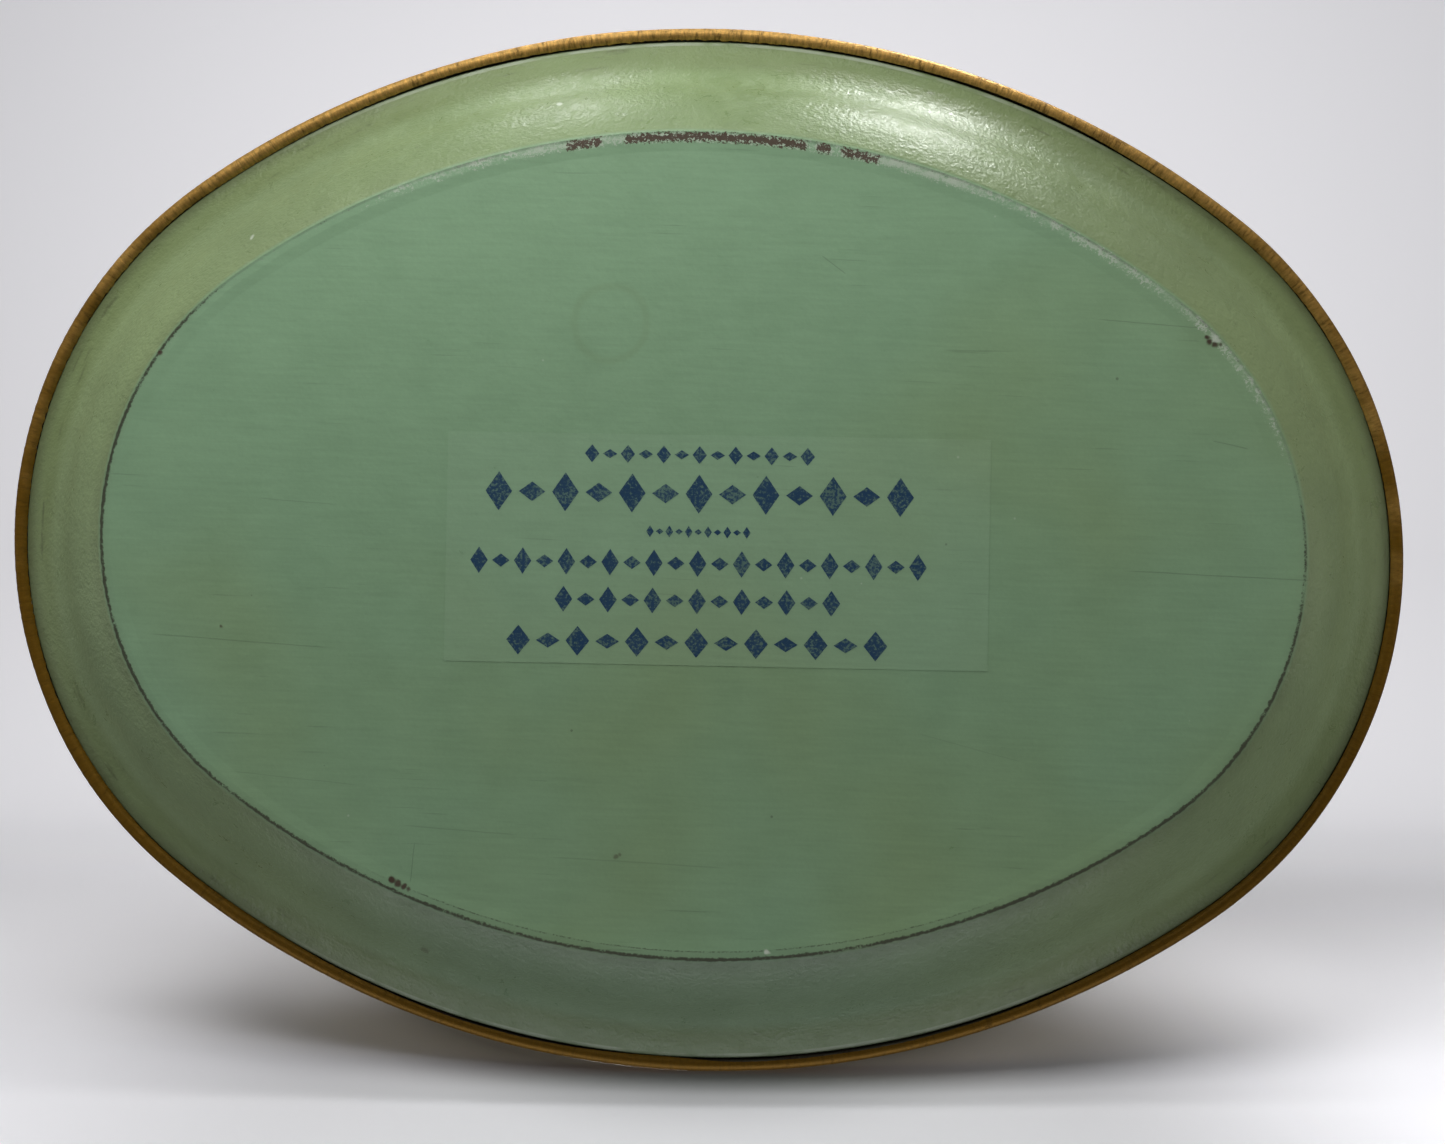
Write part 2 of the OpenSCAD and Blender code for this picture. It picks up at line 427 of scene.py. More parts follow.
@dataclass
class Shell:
    """A closed skin as rows of points: one row for each station round the oval.

    Attributes:
        points: Station, place in the section, coordinate.
        path: Distance along the section from the crease, for each point.
        capped: True if each row starts and ends at the tray's middle, so that fans close it.
    """

    points: np.ndarray
    path: np.ndarray
    capped: bool = False

    def build(self, name: str, girth: float) -> bpy.types.Object:
        """Makes the piece.

        Args:
            name: The piece's name.
            girth: Length of the rim line, for the piece's own coordinates.

        Returns:
            The new object, smooth with sharp edges where it turns hard.
        """
        rows, columns, _ = self.points.shape
        row = np.arange(rows)[:, None]
        column = np.arange(columns if not self.capped else columns - 1)[None, :]
        after, beside = (row + 1) % rows, (column + 1) % columns
        quads = np.stack(
            [a * columns + b for a, b in ((row, column), (after, column), (after, beside), (row, beside))],
            axis=2,
        ).reshape(-1, 4)
        vertices = self.points.reshape(-1, 3)
        path = self.path.reshape(-1)
        faces = quads.tolist()
        if self.capped:
            poles = self.points[:, [0, -1], :].mean(axis=0)
            vertices = np.concatenate([vertices, poles])
            path = np.concatenate([path, self.path[0, [0, -1]]])
            low, high = rows * columns, rows * columns + 1
            ring = row[:, 0] * columns
            next_ring = after[:, 0] * columns
            last = columns - 1
            faces += np.stack([next_ring, ring, np.full(rows, low)], axis=1).tolist()
            faces += np.stack([ring + last, next_ring + last, np.full(rows, high)], axis=1).tolist()
        mesh = bpy.data.meshes.new(name)
        mesh.from_pydata(vertices.tolist(), [], faces)
        turn = 2 * math.pi * np.arange(rows) / rows
        wheel = girth / (2 * math.pi)
        lay = np.zeros((len(vertices), 3))
        lay[: rows * columns, 0] = np.repeat(wheel * np.cos(turn), columns)
        lay[: rows * columns, 1] = np.repeat(wheel * np.sin(turn), columns)
        lay[:, 2] = path
        for key, kind, values in (("path", "FLOAT", path), ("lay", "FLOAT_VECTOR", lay)):
            data = mesh.attributes.new(key, kind, "POINT").data
            data.foreach_set("value" if kind == "FLOAT" else "vector", values.astype(np.float32).reshape(-1))
        mesh.shade_smooth()
        mesh.set_sharp_from_angle(angle=SHARP)
        mesh.validate()
        piece = bpy.data.objects.new(name, mesh)
        bpy.context.scene.collection.objects.link(piece)
        return piece


def turned_outward(piece: bpy.types.Object) -> bpy.types.Object:
    """Flips a closed piece's faces if they face inward.

    Args:
        piece: The piece.

    Returns:
        The same piece.
    """
    mesh = piece.data
    mesh.calc_loop_triangles()
    corners = np.empty(len(mesh.loop_triangles) * 3, np.int32)
    mesh.loop_triangles.foreach_get("vertices", corners)
    places = np.empty(len(mesh.vertices) * 3)
    mesh.vertices.foreach_get("co", places)
    a, b, c = places.reshape(-1, 3)[corners.reshape(-1, 3)].transpose(1, 0, 2)
    if (a * np.cross(b, c)).sum() < 0:
        mesh.flip_normals()
    return piece


# --------------------------------------------------------------------------- materials


class Signal:
    """A number that varies over a surface, with Python's operators as Math nodes."""

    def __init__(self, bench: "Bench", socket: bpy.types.NodeSocket) -> None:
        """Wraps an output socket of one of the bench's nodes."""
        self.bench = bench
        self.socket = socket

    def __add__(self, other: "Number") -> "Signal":
        """This plus other."""
        return self.bench.math("ADD", self, other)

    def __radd__(self, other: "Number") -> "Signal":
        """Other plus this."""
        return self.bench.math("ADD", other, self)

    def __sub__(self, other: "Number") -> "Signal":
        """This minus other."""
        return self.bench.math("SUBTRACT", self, other)

    def __rsub__(self, other: "Number") -> "Signal":
        """Other minus this."""
        return self.bench.math("SUBTRACT", other, self)

    def __mul__(self, other: "Number") -> "Signal":
        """This times other."""
        return self.bench.math("MULTIPLY", self, other)

    def __rmul__(self, other: "Number") -> "Signal":
        """Other times this."""
        return self.bench.math("MULTIPLY", other, self)

    def __truediv__(self, other: "Number") -> "Signal":
        """This over other."""
        return self.bench.math("DIVIDE", self, other)

    def __rtruediv__(self, other: "Number") -> "Signal":
        """Other over this."""
        return self.bench.math("DIVIDE", other, self)

    def __pow__(self, other: "Number") -> "Signal":
        """This to the power of other."""
        return self.bench.math("POWER", self, other)

    def __abs__(self) -> "Signal":
        """The size of this."""
        return self.bench.math("ABSOLUTE", self)

    def step(self, low: float, high: float) -> "Signal":
        """A smooth rise from 0 to 1, or a fall if low is higher than high.

        Args:
            low: Where it is 0.
            high: Where it is 1.

        Returns:
            0 before low, 1 past high, and smoothly between.
        """
        node = self.bench.node(
            "ShaderNodeMapRange",
            {"interpolation_type": "SMOOTHSTEP"},
            {"Value": self, "From Min": low, "From Max": high},
        )
        return Signal(self.bench, node.outputs[0])

    def window(self, low: float, high: float, soft: float) -> "Signal":
        """1 from low to high, fading to 0 over soft on both sides."""
        return self.step(low - soft, low) * self.step(high + soft, high)

    def clamped(self) -> "Signal":
        """This, kept from 0 to 1."""
        node = self.bench.node("ShaderNodeClamp", {}, {"Value": self})
        return Signal(self.bench, node.outputs[0])


Number = Union[Signal, float]
Feed = Union[Signal, bpy.types.NodeSocket, float, tuple, None]


class Bench:
    """A new material and the one way that nodes are added to it."""

    def __init__(self, name: str) -> None:
        """Makes an empty material.

        Args:
            name: The material's name.
        """
        self.material = bpy.data.materials.new(name)
        self.material.use_nodes = True
        self.tree = self.material.node_tree
        self.tree.nodes.clear()

    def node(self, kind: str, settings: dict[str, Any], feeds: dict[Union[str, int], Feed]) -> bpy.types.Node:
        """Adds a node.

        Args:
            kind: The node's type.
            settings: Its own settings, which are set first.
            feeds: A value or a link for each socket named or numbered.

        Returns:
            The node.
        """
        node = self.tree.nodes.new(kind)
        for key, value in settings.items():
            setattr(node, key, value)
        for key, feed in feeds.items():
            socket = node.inputs[key]
            if isinstance(feed, Signal):
                self.tree.links.new(feed.socket, socket)
            elif isinstance(feed, bpy.types.NodeSocket):
                self.tree.links.new(feed, socket)
            elif socket.type == "RGBA":
                socket.default_value = (*feed[:3], 1.0)
            else:
                socket.default_value = feed
        return node

    def math(self, operation: str, *values: Number) -> Signal:
        """A Math node's result."""
        node = self.node("ShaderNodeMath", {"operation": operation}, dict(enumerate(values)))
        return Signal(self, node.outputs[0])

    def vector(self, operation: str, a: Feed, b: Feed = None, scale: Feed = None) -> bpy.types.NodeSocket:
        """Adds a Vector Math node for its vector.

        Args:
            operation: The node's operation.
            a: Its first vector.
            b: Its second vector, if it has one.
            scale: Its scale, if it has one.

        Returns:
            The node's vector.
        """
        feeds: dict[Union[str, int], Feed] = {0: a}
        if b is not None:
            feeds[1] = b
        if scale is not None:
            feeds["Scale"] = scale
        return self.node("ShaderNodeVectorMath", {"operation": operation}, feeds).outputs["Vector"]

    def measure(self, operation: str, a: Feed, b: Feed = None) -> Signal:
        """Adds a Vector Math node for its number, such as a length or a dot product.

        Args:
            operation: The node's operation.
            a: Its first vector.
            b: Its second vector, if it has one.

        Returns:
            The node's number.
        """
        feeds: dict[Union[str, int], Feed] = {0: a} if b is None else {0: a, 1: b}
        node = self.node("ShaderNodeVectorMath", {"operation": operation}, feeds)
        return Signal(self, node.outputs["Value"])

    def mix(self, share: Number, low: Feed, high: Feed) -> bpy.types.NodeSocket:
        """A colour between two colours.

        Args:
            share: 0 for low and 1 for high.
            low: The first colour.
            high: The second colour.

        Returns:
            The mixed colour.
        """
        node = self.node("ShaderNodeMix", {"data_type": "RGBA"}, {0: share, 6: low, 7: high})
        return node.outputs[2]

    def shade(self, colour: Feed, amount: Number) -> bpy.types.NodeSocket:
        """A colour times a number that varies."""
        return self.vector("SCALE", colour, scale=amount)

    @property
    def place(self) -> bpy.types.NodeSocket:
        """Each point's place on the tray, in metres."""
        return self.node("ShaderNodeTexCoord", {}, {}).outputs["Object"]

    @property
    def lay(self) -> bpy.types.NodeSocket:
        """Each point's place with the rim unrolled onto a round drum, in metres."""
        return self.node("ShaderNodeAttribute", {"attribute_name": "lay"}, {}).outputs["Vector"]

    @property
    def path(self) -> Signal:
        """Distance along the section from the crease, in metres."""
        node = self.node("ShaderNodeAttribute", {"attribute_name": "path"}, {})
        return Signal(self, node.outputs["Fac"])

    def split(self, vector: Feed) -> tuple[Signal, Signal, Signal]:
        """A vector's three numbers."""
        node = self.node("ShaderNodeSeparateXYZ", {}, {0: vector})
        return tuple(Signal(self, socket) for socket in node.outputs)

    def stretched(self, vector: Feed, x: float, y: float, z: float) -> bpy.types.NodeSocket:
        """A vector with each of its numbers multiplied."""
        return self.vector("MULTIPLY", vector, (x, y, z))

    def noise(
        self, vector: Feed, wave: float, detail: float = 3.0, rough: float = 0.5, bend: float = 0.0
    ) -> Signal:
        """Smooth noise round 0.5.

        Args:
            vector: Where to read it.
            wave: Length of its largest waves, in metres.
            detail: How many finer octaves it has.
            rough: How strong they are.
            bend: How much it is warped by itself.

        Returns:
            The noise.
        """
        node = self.node(
            "ShaderNodeTexNoise",
            {},
            {"Vector": vector, "Scale": 1 / wave, "Detail": detail, "Roughness": rough, "Distortion": bend},
        )
        return Signal(self, node.outputs[0])

    def specks(self, vector: Feed, pitch: float, size: float, share: float) -> Signal:
        """Scattered round specks.

        Args:
            vector: Where to read them.
            pitch: Usual distance between neighbouring cells.
            size: Largest radius of a speck, as a share of the pitch.
            share: How many of the cells have one, from 0 to 1.

        Returns:
            1 in a speck and 0 elsewhere.
        """
        node = self.node("ShaderNodeTexVoronoi", {}, {"Vector": vector, "Scale": 1 / pitch})
        distance = Signal(self, node.outputs["Distance"])
        chance, spread, _ = self.split(node.outputs["Color"])
        reach = spread * size + 0.02
        return (distance / reach).step(1.0, 0.6) * chance.step(1 - share, 1 - share + 0.01)

    def line(
        self, a: tuple[float, float], b: tuple[float, float], width: float, wobble: Feed = None
    ) -> Signal:
        """A thin straight mark on the tray, seen from above or below.

        Args:
            a: One end, X and Y.
            b: The other end.
            width: Half its width.
            wobble: Places to read it at, if not the plain ones.

        Returns:
            1 on the mark, fading to 0 at its sides and ends.
        """
        ax, ay = a
        span = (b[0] - ax, b[1] - ay, 0.0)
        length = math.hypot(*span)
        unit = tuple(v / length for v in span)
        flat = self.vector("MULTIPLY", wobble or self.place, (1, 1, 0))
        away = self.vector("SUBTRACT", flat, (ax, ay, 0))
        along = self.measure("DOT_PRODUCT", away, unit)
        across = abs(self.measure("DOT_PRODUCT", away, (-unit[1], unit[0], 0)))
        return across.step(width, width * 0.3) * along.window(0.1 * length, 0.9 * length, 0.1 * length)

    def disc(self, x: float, y: float, radius: float, soft: float, wobble: Feed = None) -> Signal:
        """A round patch on the tray, seen from above or below, with a soft edge."""
        flat = self.vector("MULTIPLY", wobble or self.place, (1, 1, 0))
        return self.measure("DISTANCE", flat, (x, y, 0)).step(radius + soft, radius - soft)

    def ragged(self, wave: float, reach: float) -> bpy.types.NodeSocket:
        """Pushes places about by noise, so that what is drawn there gets a ragged outline.

        Args:
            wave: Length of the noise's largest waves.
            reach: How far it pushes at most.

        Returns:
            The places to draw at.
        """
        node = self.node("ShaderNodeTexNoise", {}, {"Vector": self.place, "Scale": 1 / wave, "Detail": 4.0})
        push = self.vector("SUBTRACT", node.outputs["Color"], (0.5, 0.5, 0.5))
        return self.vector("ADD", self.place, self.vector("SCALE", push, scale=2 * reach))

    def finish(self, colour: Feed, roughness: Feed, height: Signal, relief: float, **settings: Feed) -> None:
        """Ends the material in a Principled shader.

        Args:
            colour: Base colour.
            roughness: Roughness.
            height: Surface relief, usually from -1 to 1.
            relief: Height of one unit of it, in metres.
            settings: Other sockets of the shader, with underscores for spaces.
        """
        bump = self.node("ShaderNodeBump", {}, {"Height": height, "Distance": relief, "Strength": 1.0})
        feeds = {key.replace("_", " "): value for key, value in settings.items()}
        shader = self.node(
            "ShaderNodeBsdfPrincipled",
            {},
            {"Base Color": colour, "Roughness": roughness, "Normal": bump.outputs[0], **feeds},
        )
        self.node("ShaderNodeOutputMaterial", {}, {"Surface": shader.outputs[0]})


@dataclass(frozen=True)
class Mark:
    """A scratch or a rubbed line on the tray's back, from one place to another.

    Attributes:
        start: One end, X and Y.
        end: The other end.
        width: Half its width.
        depth: How strongly it shows, from 0 to 1.
    """

    start: tuple[float, float]
    end: tuple[float, float]
    width: float
    depth: float


@dataclass(frozen=True)
class Spot:
    """A stain or a chip on the tray's back: its place, its radius and how strongly it shows."""

    x: float
    y: float
    radius: float
    depth: float


SCRATCHES = (
    Mark((149 * MM, -29.8 * MM), (97 * MM, -31.8 * MM), 0.22 * MM, 0.5),
    Mark((-112 * MM, -2.6 * MM), (-181 * MM, -3.4 * MM), 0.2 * MM, 0.6),
    Mark((38 * MM, -85.4 * MM), (-12 * MM, -86.4 * MM), 0.25 * MM, 0.35),
    Mark((77 * MM, -78.6 * MM), (45 * MM, -80 * MM), 0.2 * MM, 0.4),
    Mark((120 * MM, 8 * MM), (98 * MM, 7 * MM), 0.18 * MM, 0.35),
    Mark((-30 * MM, 79 * MM), (-37 * MM, 74 * MM), 0.2 * MM, 0.5),
    Mark((-60 * MM, -48 * MM), (-90 * MM, -55 * MM), 0.15 * MM, 0.3),
    Mark((-104 * MM, 64.5 * MM), (-134 * MM, 63 * MM), 0.2 * MM, 0.5),
    Mark((-136 * MM, 33 * MM), (-146 * MM, 31.2 * MM), 0.22 * MM, 0.5),
    Mark((146 * MM, 78 * MM), (118 * MM, 77 * MM), 0.18 * MM, 0.3),
    Mark((73.2 * MM, -83 * MM), (73.9 * MM, -94 * MM), 0.16 * MM, 0.7),
    Mark((86 * MM, -106.5 * MM), (85.5 * MM, -113.5 * MM), 0.16 * MM, 0.6),
    Mark((43.6 * MM, -127 * MM), (43.2 * MM, -131.5 * MM), 0.16 * MM, 0.6),
    Mark((124 * MM, -66 * MM), (88 * MM, -68.5 * MM), 0.16 * MM, 0.35),
)
BROWN_SPOTS = (
    Spot(-133.7 * MM, 60.6 * MM, 0.6 * MM, 0.95),
    Spot(-134.4 * MM, 59.4 * MM, 0.7 * MM, 0.95),
    Spot(-135.8 * MM, 58.6 * MM, 0.7 * MM, 0.9),
    Spot(-137.2 * MM, 58.7 * MM, 0.45 * MM, 0.8),
    Spot(148.1 * MM, 46.3 * MM, 0.6 * MM, 0.9),
    Spot(78.9 * MM, -93.4 * MM, 0.95 * MM, 0.95),
    Spot(77.3 * MM, -94.2 * MM, 0.85 * MM, 0.9),
    Spot(75.6 * MM, -94.9 * MM, 0.8 * MM, 0.9),
    Spot(74.2 * MM, -95.8 * MM, 0.5 * MM, 0.8),
    Spot(18.8 * MM, -84.6 * MM, 0.55 * MM, 0.55),
    Spot(17.7 * MM, -84.2 * MM, 0.5 * MM, 0.5),
    Spot(72.4 * MM, -115.8 * MM, 1.3 * MM, 0.35),
    Spot(128 * MM, -27 * MM, 0.35 * MM, 0.8),
)
PALE_FLECKS = (
    Spot(-135.6 * MM, 60.6 * MM, 0.8 * MM, 0.8),
    Spot(-22.8 * MM, -108.1 * MM, 0.7 * MM, 1.0),
    Spot(44.1 * MM, 121.9 * MM, 0.7 * MM, 0.8),
    Spot(126.3 * MM, 80 * MM, 0.5 * MM, 0.7),
)


@dataclass(frozen=True)
class RustPatch:
    """A rusted stretch of the foot ring, on the side towards +Y.

    Attributes:
        start: Its end towards -X.
        end: Its end towards +X.
        soft: How far it fades out past both.
        depth: How far the rust has gone, from 0 to 1.
    """

    start: float
    end: float
    soft: float
    depth: float


RUST_PATCHES = (
    RustPatch(-24 * MM, 23 * MM, 2 * MM, 1.0),
    RustPatch(-31 * MM, -28 * MM, 1 * MM, 1.0),
    RustPatch(-44 * MM, -35 * MM, 1.5 * MM, 0.85),
    RustPatch(31 * MM, 39 * MM, 1.5 * MM, 0.9),
)
CUP_RING = Spot(26 * MM, 59 * MM, 10 * MM, 0.12)


@dataclass(frozen=True)
class Coated:
    """What a coat looks like before it is worn: colour, roughness and relief."""

    colour: bpy.types.NodeSocket
    roughness: Signal
    height: Signal


class Crease:
    """The places and noises that the wear, dirt and painted shade along the crease are worked out from."""

    def __init__(self, bench: Bench) -> None:
        """Reads them.

        Args:
            bench: The material to build in.
        """
        self.bench = bench
        self.x, self.y, _ = bench.split(bench.place)
        self.path = bench.path
        self.ragged = bench.noise(bench.place, 1.6 * MM, 5, 0.7)
        self.patchy = bench.noise(bench.lay, 22 * MM, 3, 0.6)
        self.crumbs = bench.noise(bench.place, 0.8 * MM, 3, 0.75)
        self.ring = self.band(-1.3 * MM, 1.9 * MM)

    def band(self, middle: float, reach: float, wander: Number = 0.0) -> Signal:
        """A band beside the crease.

        Args:
            middle: Where its middle lies along the section.
            reach: How far it fades out from there.
            wander: How far its middle strays at each place.

        Returns:
            1 along its middle, falling evenly to 0.
        """
        return (1 - abs(self.path - middle + wander) / reach).clamped()

    def rubbed(self) -> Signal:
        """How far rubbing has bared the tin, in crumbs along the side towards +Y.

        Returns:
            0 where it has not, up to 1.
        """
        broken = self.bench.noise(self.bench.lay, 5 * MM, 4, 0.65).step(0.44, 0.58)
        sides = self.x.step(-30 * MM, -50 * MM) * 0.9 + self.x.window(30 * MM, 84 * MM, 12 * MM) * 0.8
        edge = self.band(-0.3 * MM, 0.9 * MM) * 0.25
        rubbing = (edge + self.ring * 0.3) * self.y.step(10 * MM, 50 * MM) * (sides + 0.25)
        rubbing = rubbing * (self.patchy + 0.5)
        bitten = (self.crumbs * 1.3 + self.ragged * 0.8 + rubbing).step(1.28, 1.46)
        return bitten * (0.3 + broken * 0.7) * rubbing.step(0.02, 0.15)

    @property
    def pitted(self) -> Signal:
        """Pits and crumbs, above 0 where rust takes first."""
        return (self.crumbs - 0.5) * 2.6 + (self.ragged - 0.5) * 1.8

    @property
    def top(self) -> Signal:
        """1 along the side towards +Y."""
        return self.y.step(90 * MM, 100 * MM)

    def rusty(self) -> Signal:
        """How far each place has rusted, within the rust patches of the foot ring.

        Returns:
            0 where it has not, up to 1.
        """
        patches: Number = 0.0
        for patch in RUST_PATCHES:
            patches = patches + self.x.window(patch.start, patch.end, patch.soft) * patch.depth
        within = self.ring * self.top * patches
        return (self.pitted + within * 1.15).step(0.42, 0.62) * within.step(0.02, 0.2)

    def scraped(self) -> Signal:
        """How far the enamel has flaked to the tin round the rust.

        Returns:
            0 where it has not, up to 1.
        """
        bared = self.ring * self.top * self.x.window(-66 * MM, 46 * MM, 10 * MM)
        return (bared * 0.85 - self.pitted * 1.7).step(0.45, 0.9) * bared.step(0.02, 0.3)

    def crease_dirt_and_shade(self) -> Signal:
        """Darkening along the crease: a broken line of dirt, a finer one inside it at the bottom, a soft band
        beside it that is darker towards -Y and at the end towards +X, and painted shade along the crease
        itself.

        Returns:
            0 where it is not darkened, up to 1.
        """
        beside = self.x.step(80 * MM, 100 * MM) * self.y.step(70 * MM, 50 * MM)
        low = (self.y.step(50 * MM, -50 * MM) + beside).clamped()
        line = self.band(-0.1 * MM, 0.6 * MM, (self.ragged - 0.5) * (1.6 * MM))
        kept = (low * 0.5 + self.patchy * 0.6 + self.crumbs * 1.7).step(1.2, 1.9)
        crease_dirt_and_shade = (line * 1.9 * kept).clamped()
        second = self.band(-2.1 * MM, 0.3 * MM, (self.ragged - 0.5) * (0.6 * MM))
        crease_dirt_and_shade = crease_dirt_and_shade + second * self.y.step(-88 * MM, -100 * MM) * self.crumbs.step(0.4, 0.6) * 0.85
        smear = self.band(1.5 * MM, 4 * MM) * low * (self.patchy + self.ragged - 0.5)
        # Painted shade: a thin dark line along the crease itself.
        shadow = self.path.window(-0.3 * MM, 0.1 * MM, 0.25 * MM) * (self.patchy - 0.3)
        return (crease_dirt_and_shade + smear * 0.35 + shadow * 0.9).clamped()


@dataclass(frozen=True)
class BackEnamel:
    """Stoved sage green enamel, satin, gone cool on the floor and olive on the flange."""

    cool: Colour = paint(116, 145, 114)
    warm: Colour = paint(116, 132, 88)
    # Grey of the lower flange: painted reflection of the pale paper below.
    reflected_paper_grey: Colour = paint(118, 137, 110)
    dull: Colour = paint(126, 138, 98)
    olive: Colour = paint(98, 110, 68)
    # Dark dirt colour, also used for painted shade by the curl and along the crease.
    soil_and_shade: Colour = paint(48, 44, 34)
    rust: Colour = paint(62, 42, 36)
    tin: Colour = paint(176, 184, 168)
    roughness: float = 0.45

    def coat(self, bench: Bench) -> Coated:
        """The sound enamel, with its mottling, fine lay, small scratches and a painted sheen that lightens it
        towards +Y.

        Args:
            bench: The material to build in.

        Returns:
            Colour, roughness and relief.
        """
        place = bench.place
        x, y, _ = bench.split(place)
        clouds = bench.noise(place, 90 * MM, 2)
        cloudlets = bench.noise(place, 14 * MM, 4, 0.6)
        grain = bench.noise(place, 0.9 * MM, 3, 0.6)
        lay = bench.noise(bench.stretched(place, 0.06, 1, 1), 1.1 * MM, 3, 0.6)
        colour = bench.mix((clouds + x * -0.9 - y * 1.6 - 0.1).step(0.3, 0.85) * 0.6, self.cool, self.warm)
        hair = bench.noise(bench.stretched(place, 0.025, 1, 1), 0.7 * MM, 2).step(0.66, 0.74)
        hair = hair * bench.noise(place, 30 * MM, 2).step(0.5, 0.62)
        tone = 1 + (cloudlets - 0.5) * 0.16 + (grain - 0.5) * 0.12 + (lay - 0.5) * 0.22
        # Painted light: the enamel is lighter towards +Y, standing for the lamps' sheen on the floor there.
        colour = bench.shade(colour, tone + y.step(-60 * MM, 110 * MM) * 0.15 - hair * 0.22)
        dark = bench.specks(place, 11 * MM, 0.06, 0.1)
        pale = bench.specks(bench.vector("ADD", place, (0.3, 0.1, 0)), 8 * MM, 0.05, 0.14)
        colour = bench.mix(dark * 0.45, colour, self.soil_and_shade)
        colour = bench.mix(pale * 0.35, colour, self.tin)
        scratch: Number = 0.0
        hand = bench.ragged(12 * MM, 0.25 * MM)
        for mark in SCRATCHES:
            scratch = scratch + bench.line(mark.start, mark.end, mark.width, hand) * mark.depth
        colour = bench.mix((scratch * (0.4 + grain)).clamped(), colour, bench.shade(colour, 0.45))
        scuff = bench.noise(place, 4.5 * MM, 5, 0.7, 0.6)
        dimple = bench.noise(place, 2.4 * MM, 2)
        roughness = self.roughness + (cloudlets - 0.5) * 0.3 + (scuff - 0.5) * 0.7
        waves = (dimple - 0.5) * 5 + (cloudlets - 0.5) * 9
        return Coated(colour, roughness, (grain - 0.5) * 1.2 + waves + (lay - 0.5) * 0.8 - scratch * 0.8)

    def on_flange(self, bench: Bench, colour: bpy.types.NodeSocket) -> bpy.types.NodeSocket:
        """The flange's own tones over the floor's, with painted reflection and shade, dirt towards the curl
        and a painted highlight along its edge.

        Args:
            bench: The material to build in.
            colour: The floor's colour.

        Returns:
            The colour of the whole back.
        """
        x, y, _ = bench.split(bench.place)
        lay, path = bench.lay, bench.path
        dulled = abs(x).step(40 * MM, 130 * MM)
        # Painted reflection: the flange turns grey towards -Y, as if lit by the pale paper below.
        sheen = bench.mix(y.step(-90 * MM, 60 * MM), self.reflected_paper_grey, self.warm)
        # Paler olive towards both ends; at the ends towards +Y the flange is also darkened, as painted shade.
        sheen = bench.mix(dulled * 0.7, sheen, self.dull)
        shaded = dulled * y.step(55 * MM, 100 * MM) * 0.2
        sheen = bench.shade(sheen, 1 + (bench.noise(lay, 20 * MM, 4) - 0.5) * 0.3 - shaded)
        colour = bench.mix(self.flange(path) * 0.85, colour, sheen)
        blotch = bench.noise(bench.stretched(lay, 0.35, 0.35, 1), 5 * MM, 4, 0.6)
        # Partly dirt and partly painted shade: the outer ledge by the curl turns darker olive in blotches.
        ledge_dirt_and_shade = (path.step(32 * MM, 39 * MM) * (0.35 + blotch * 0.6)).clamped()
        colour = bench.mix(ledge_dirt_and_shade * 0.8, colour, self.olive)
        smear = bench.noise(bench.stretched(lay, 0.1, 0.1, 1), 2.2 * MM, 3, 0.6).step(0.56, 0.7)
        smear = smear * path.step(33 * MM, 40 * MM) * blotch.step(0.45, 0.6)
        colour = bench.mix(smear * 0.4, colour, self.soil_and_shade)
        smudge = bench.noise(bench.place, 8 * MM, 4, 0.7).step(0.66, 0.76)
        colour = bench.mix(self.flange(path) * smudge * 0.2, colour, self.soil_and_shade)
        # Painted shade: next to the curl, the flange is darkened in the dirt colour at the tray's ends.
        ends = abs(y / (0.09 + abs(x) * 0.5)).step(1.1, 0.6)
        colour = bench.mix(path.step(41 * MM, 46.5 * MM) * ends * 0.4, colour, self.soil_and_shade)
        # Painted highlight: a pale line along the flange's convex edge by the curl, left out at the ends.
        edge_highlight = path.window(45.5 * MM, 46.3 * MM, 0.4 * MM) * (1 - ends) * blotch.step(0.3, 0.6)
        return bench.mix(edge_highlight * 0.45, colour, self.tin)

    def flange(self, path: Signal) -> Signal:
        """1 on the flange and 0 inside the crease."""
        return path.step(-0.3 * MM, 1.5 * MM)

    def marked(self, bench: Bench, colour: bpy.types.NodeSocket) -> bpy.types.NodeSocket:
        """Adds the chips, the flecks and the ring that a wet cup left.

        Args:
            bench: The material to build in.
            colour: The colour without them.

        Returns:
            The colour with them.
        """
        hand = bench.ragged(3 * MM, 0.9 * MM)
        for spots, soft, tone in ((BROWN_SPOTS, 0.35 * MM, self.rust), (PALE_FLECKS, 0.3 * MM, self.tin)):
            for spot in spots:
                share = bench.disc(spot.x, spot.y, spot.radius, soft, hand) * spot.depth
                colour = bench.mix(share, colour, tone)
        flat = bench.stretched(bench.ragged(20 * MM, 1.5 * MM), 1, 1, 0)
        stray = abs(bench.measure("DISTANCE", flat, (CUP_RING.x, CUP_RING.y, 0)) - CUP_RING.radius)
        return bench.mix(stray.step(1.6 * MM, 0.2 * MM) * CUP_RING.depth, colour, self.olive)

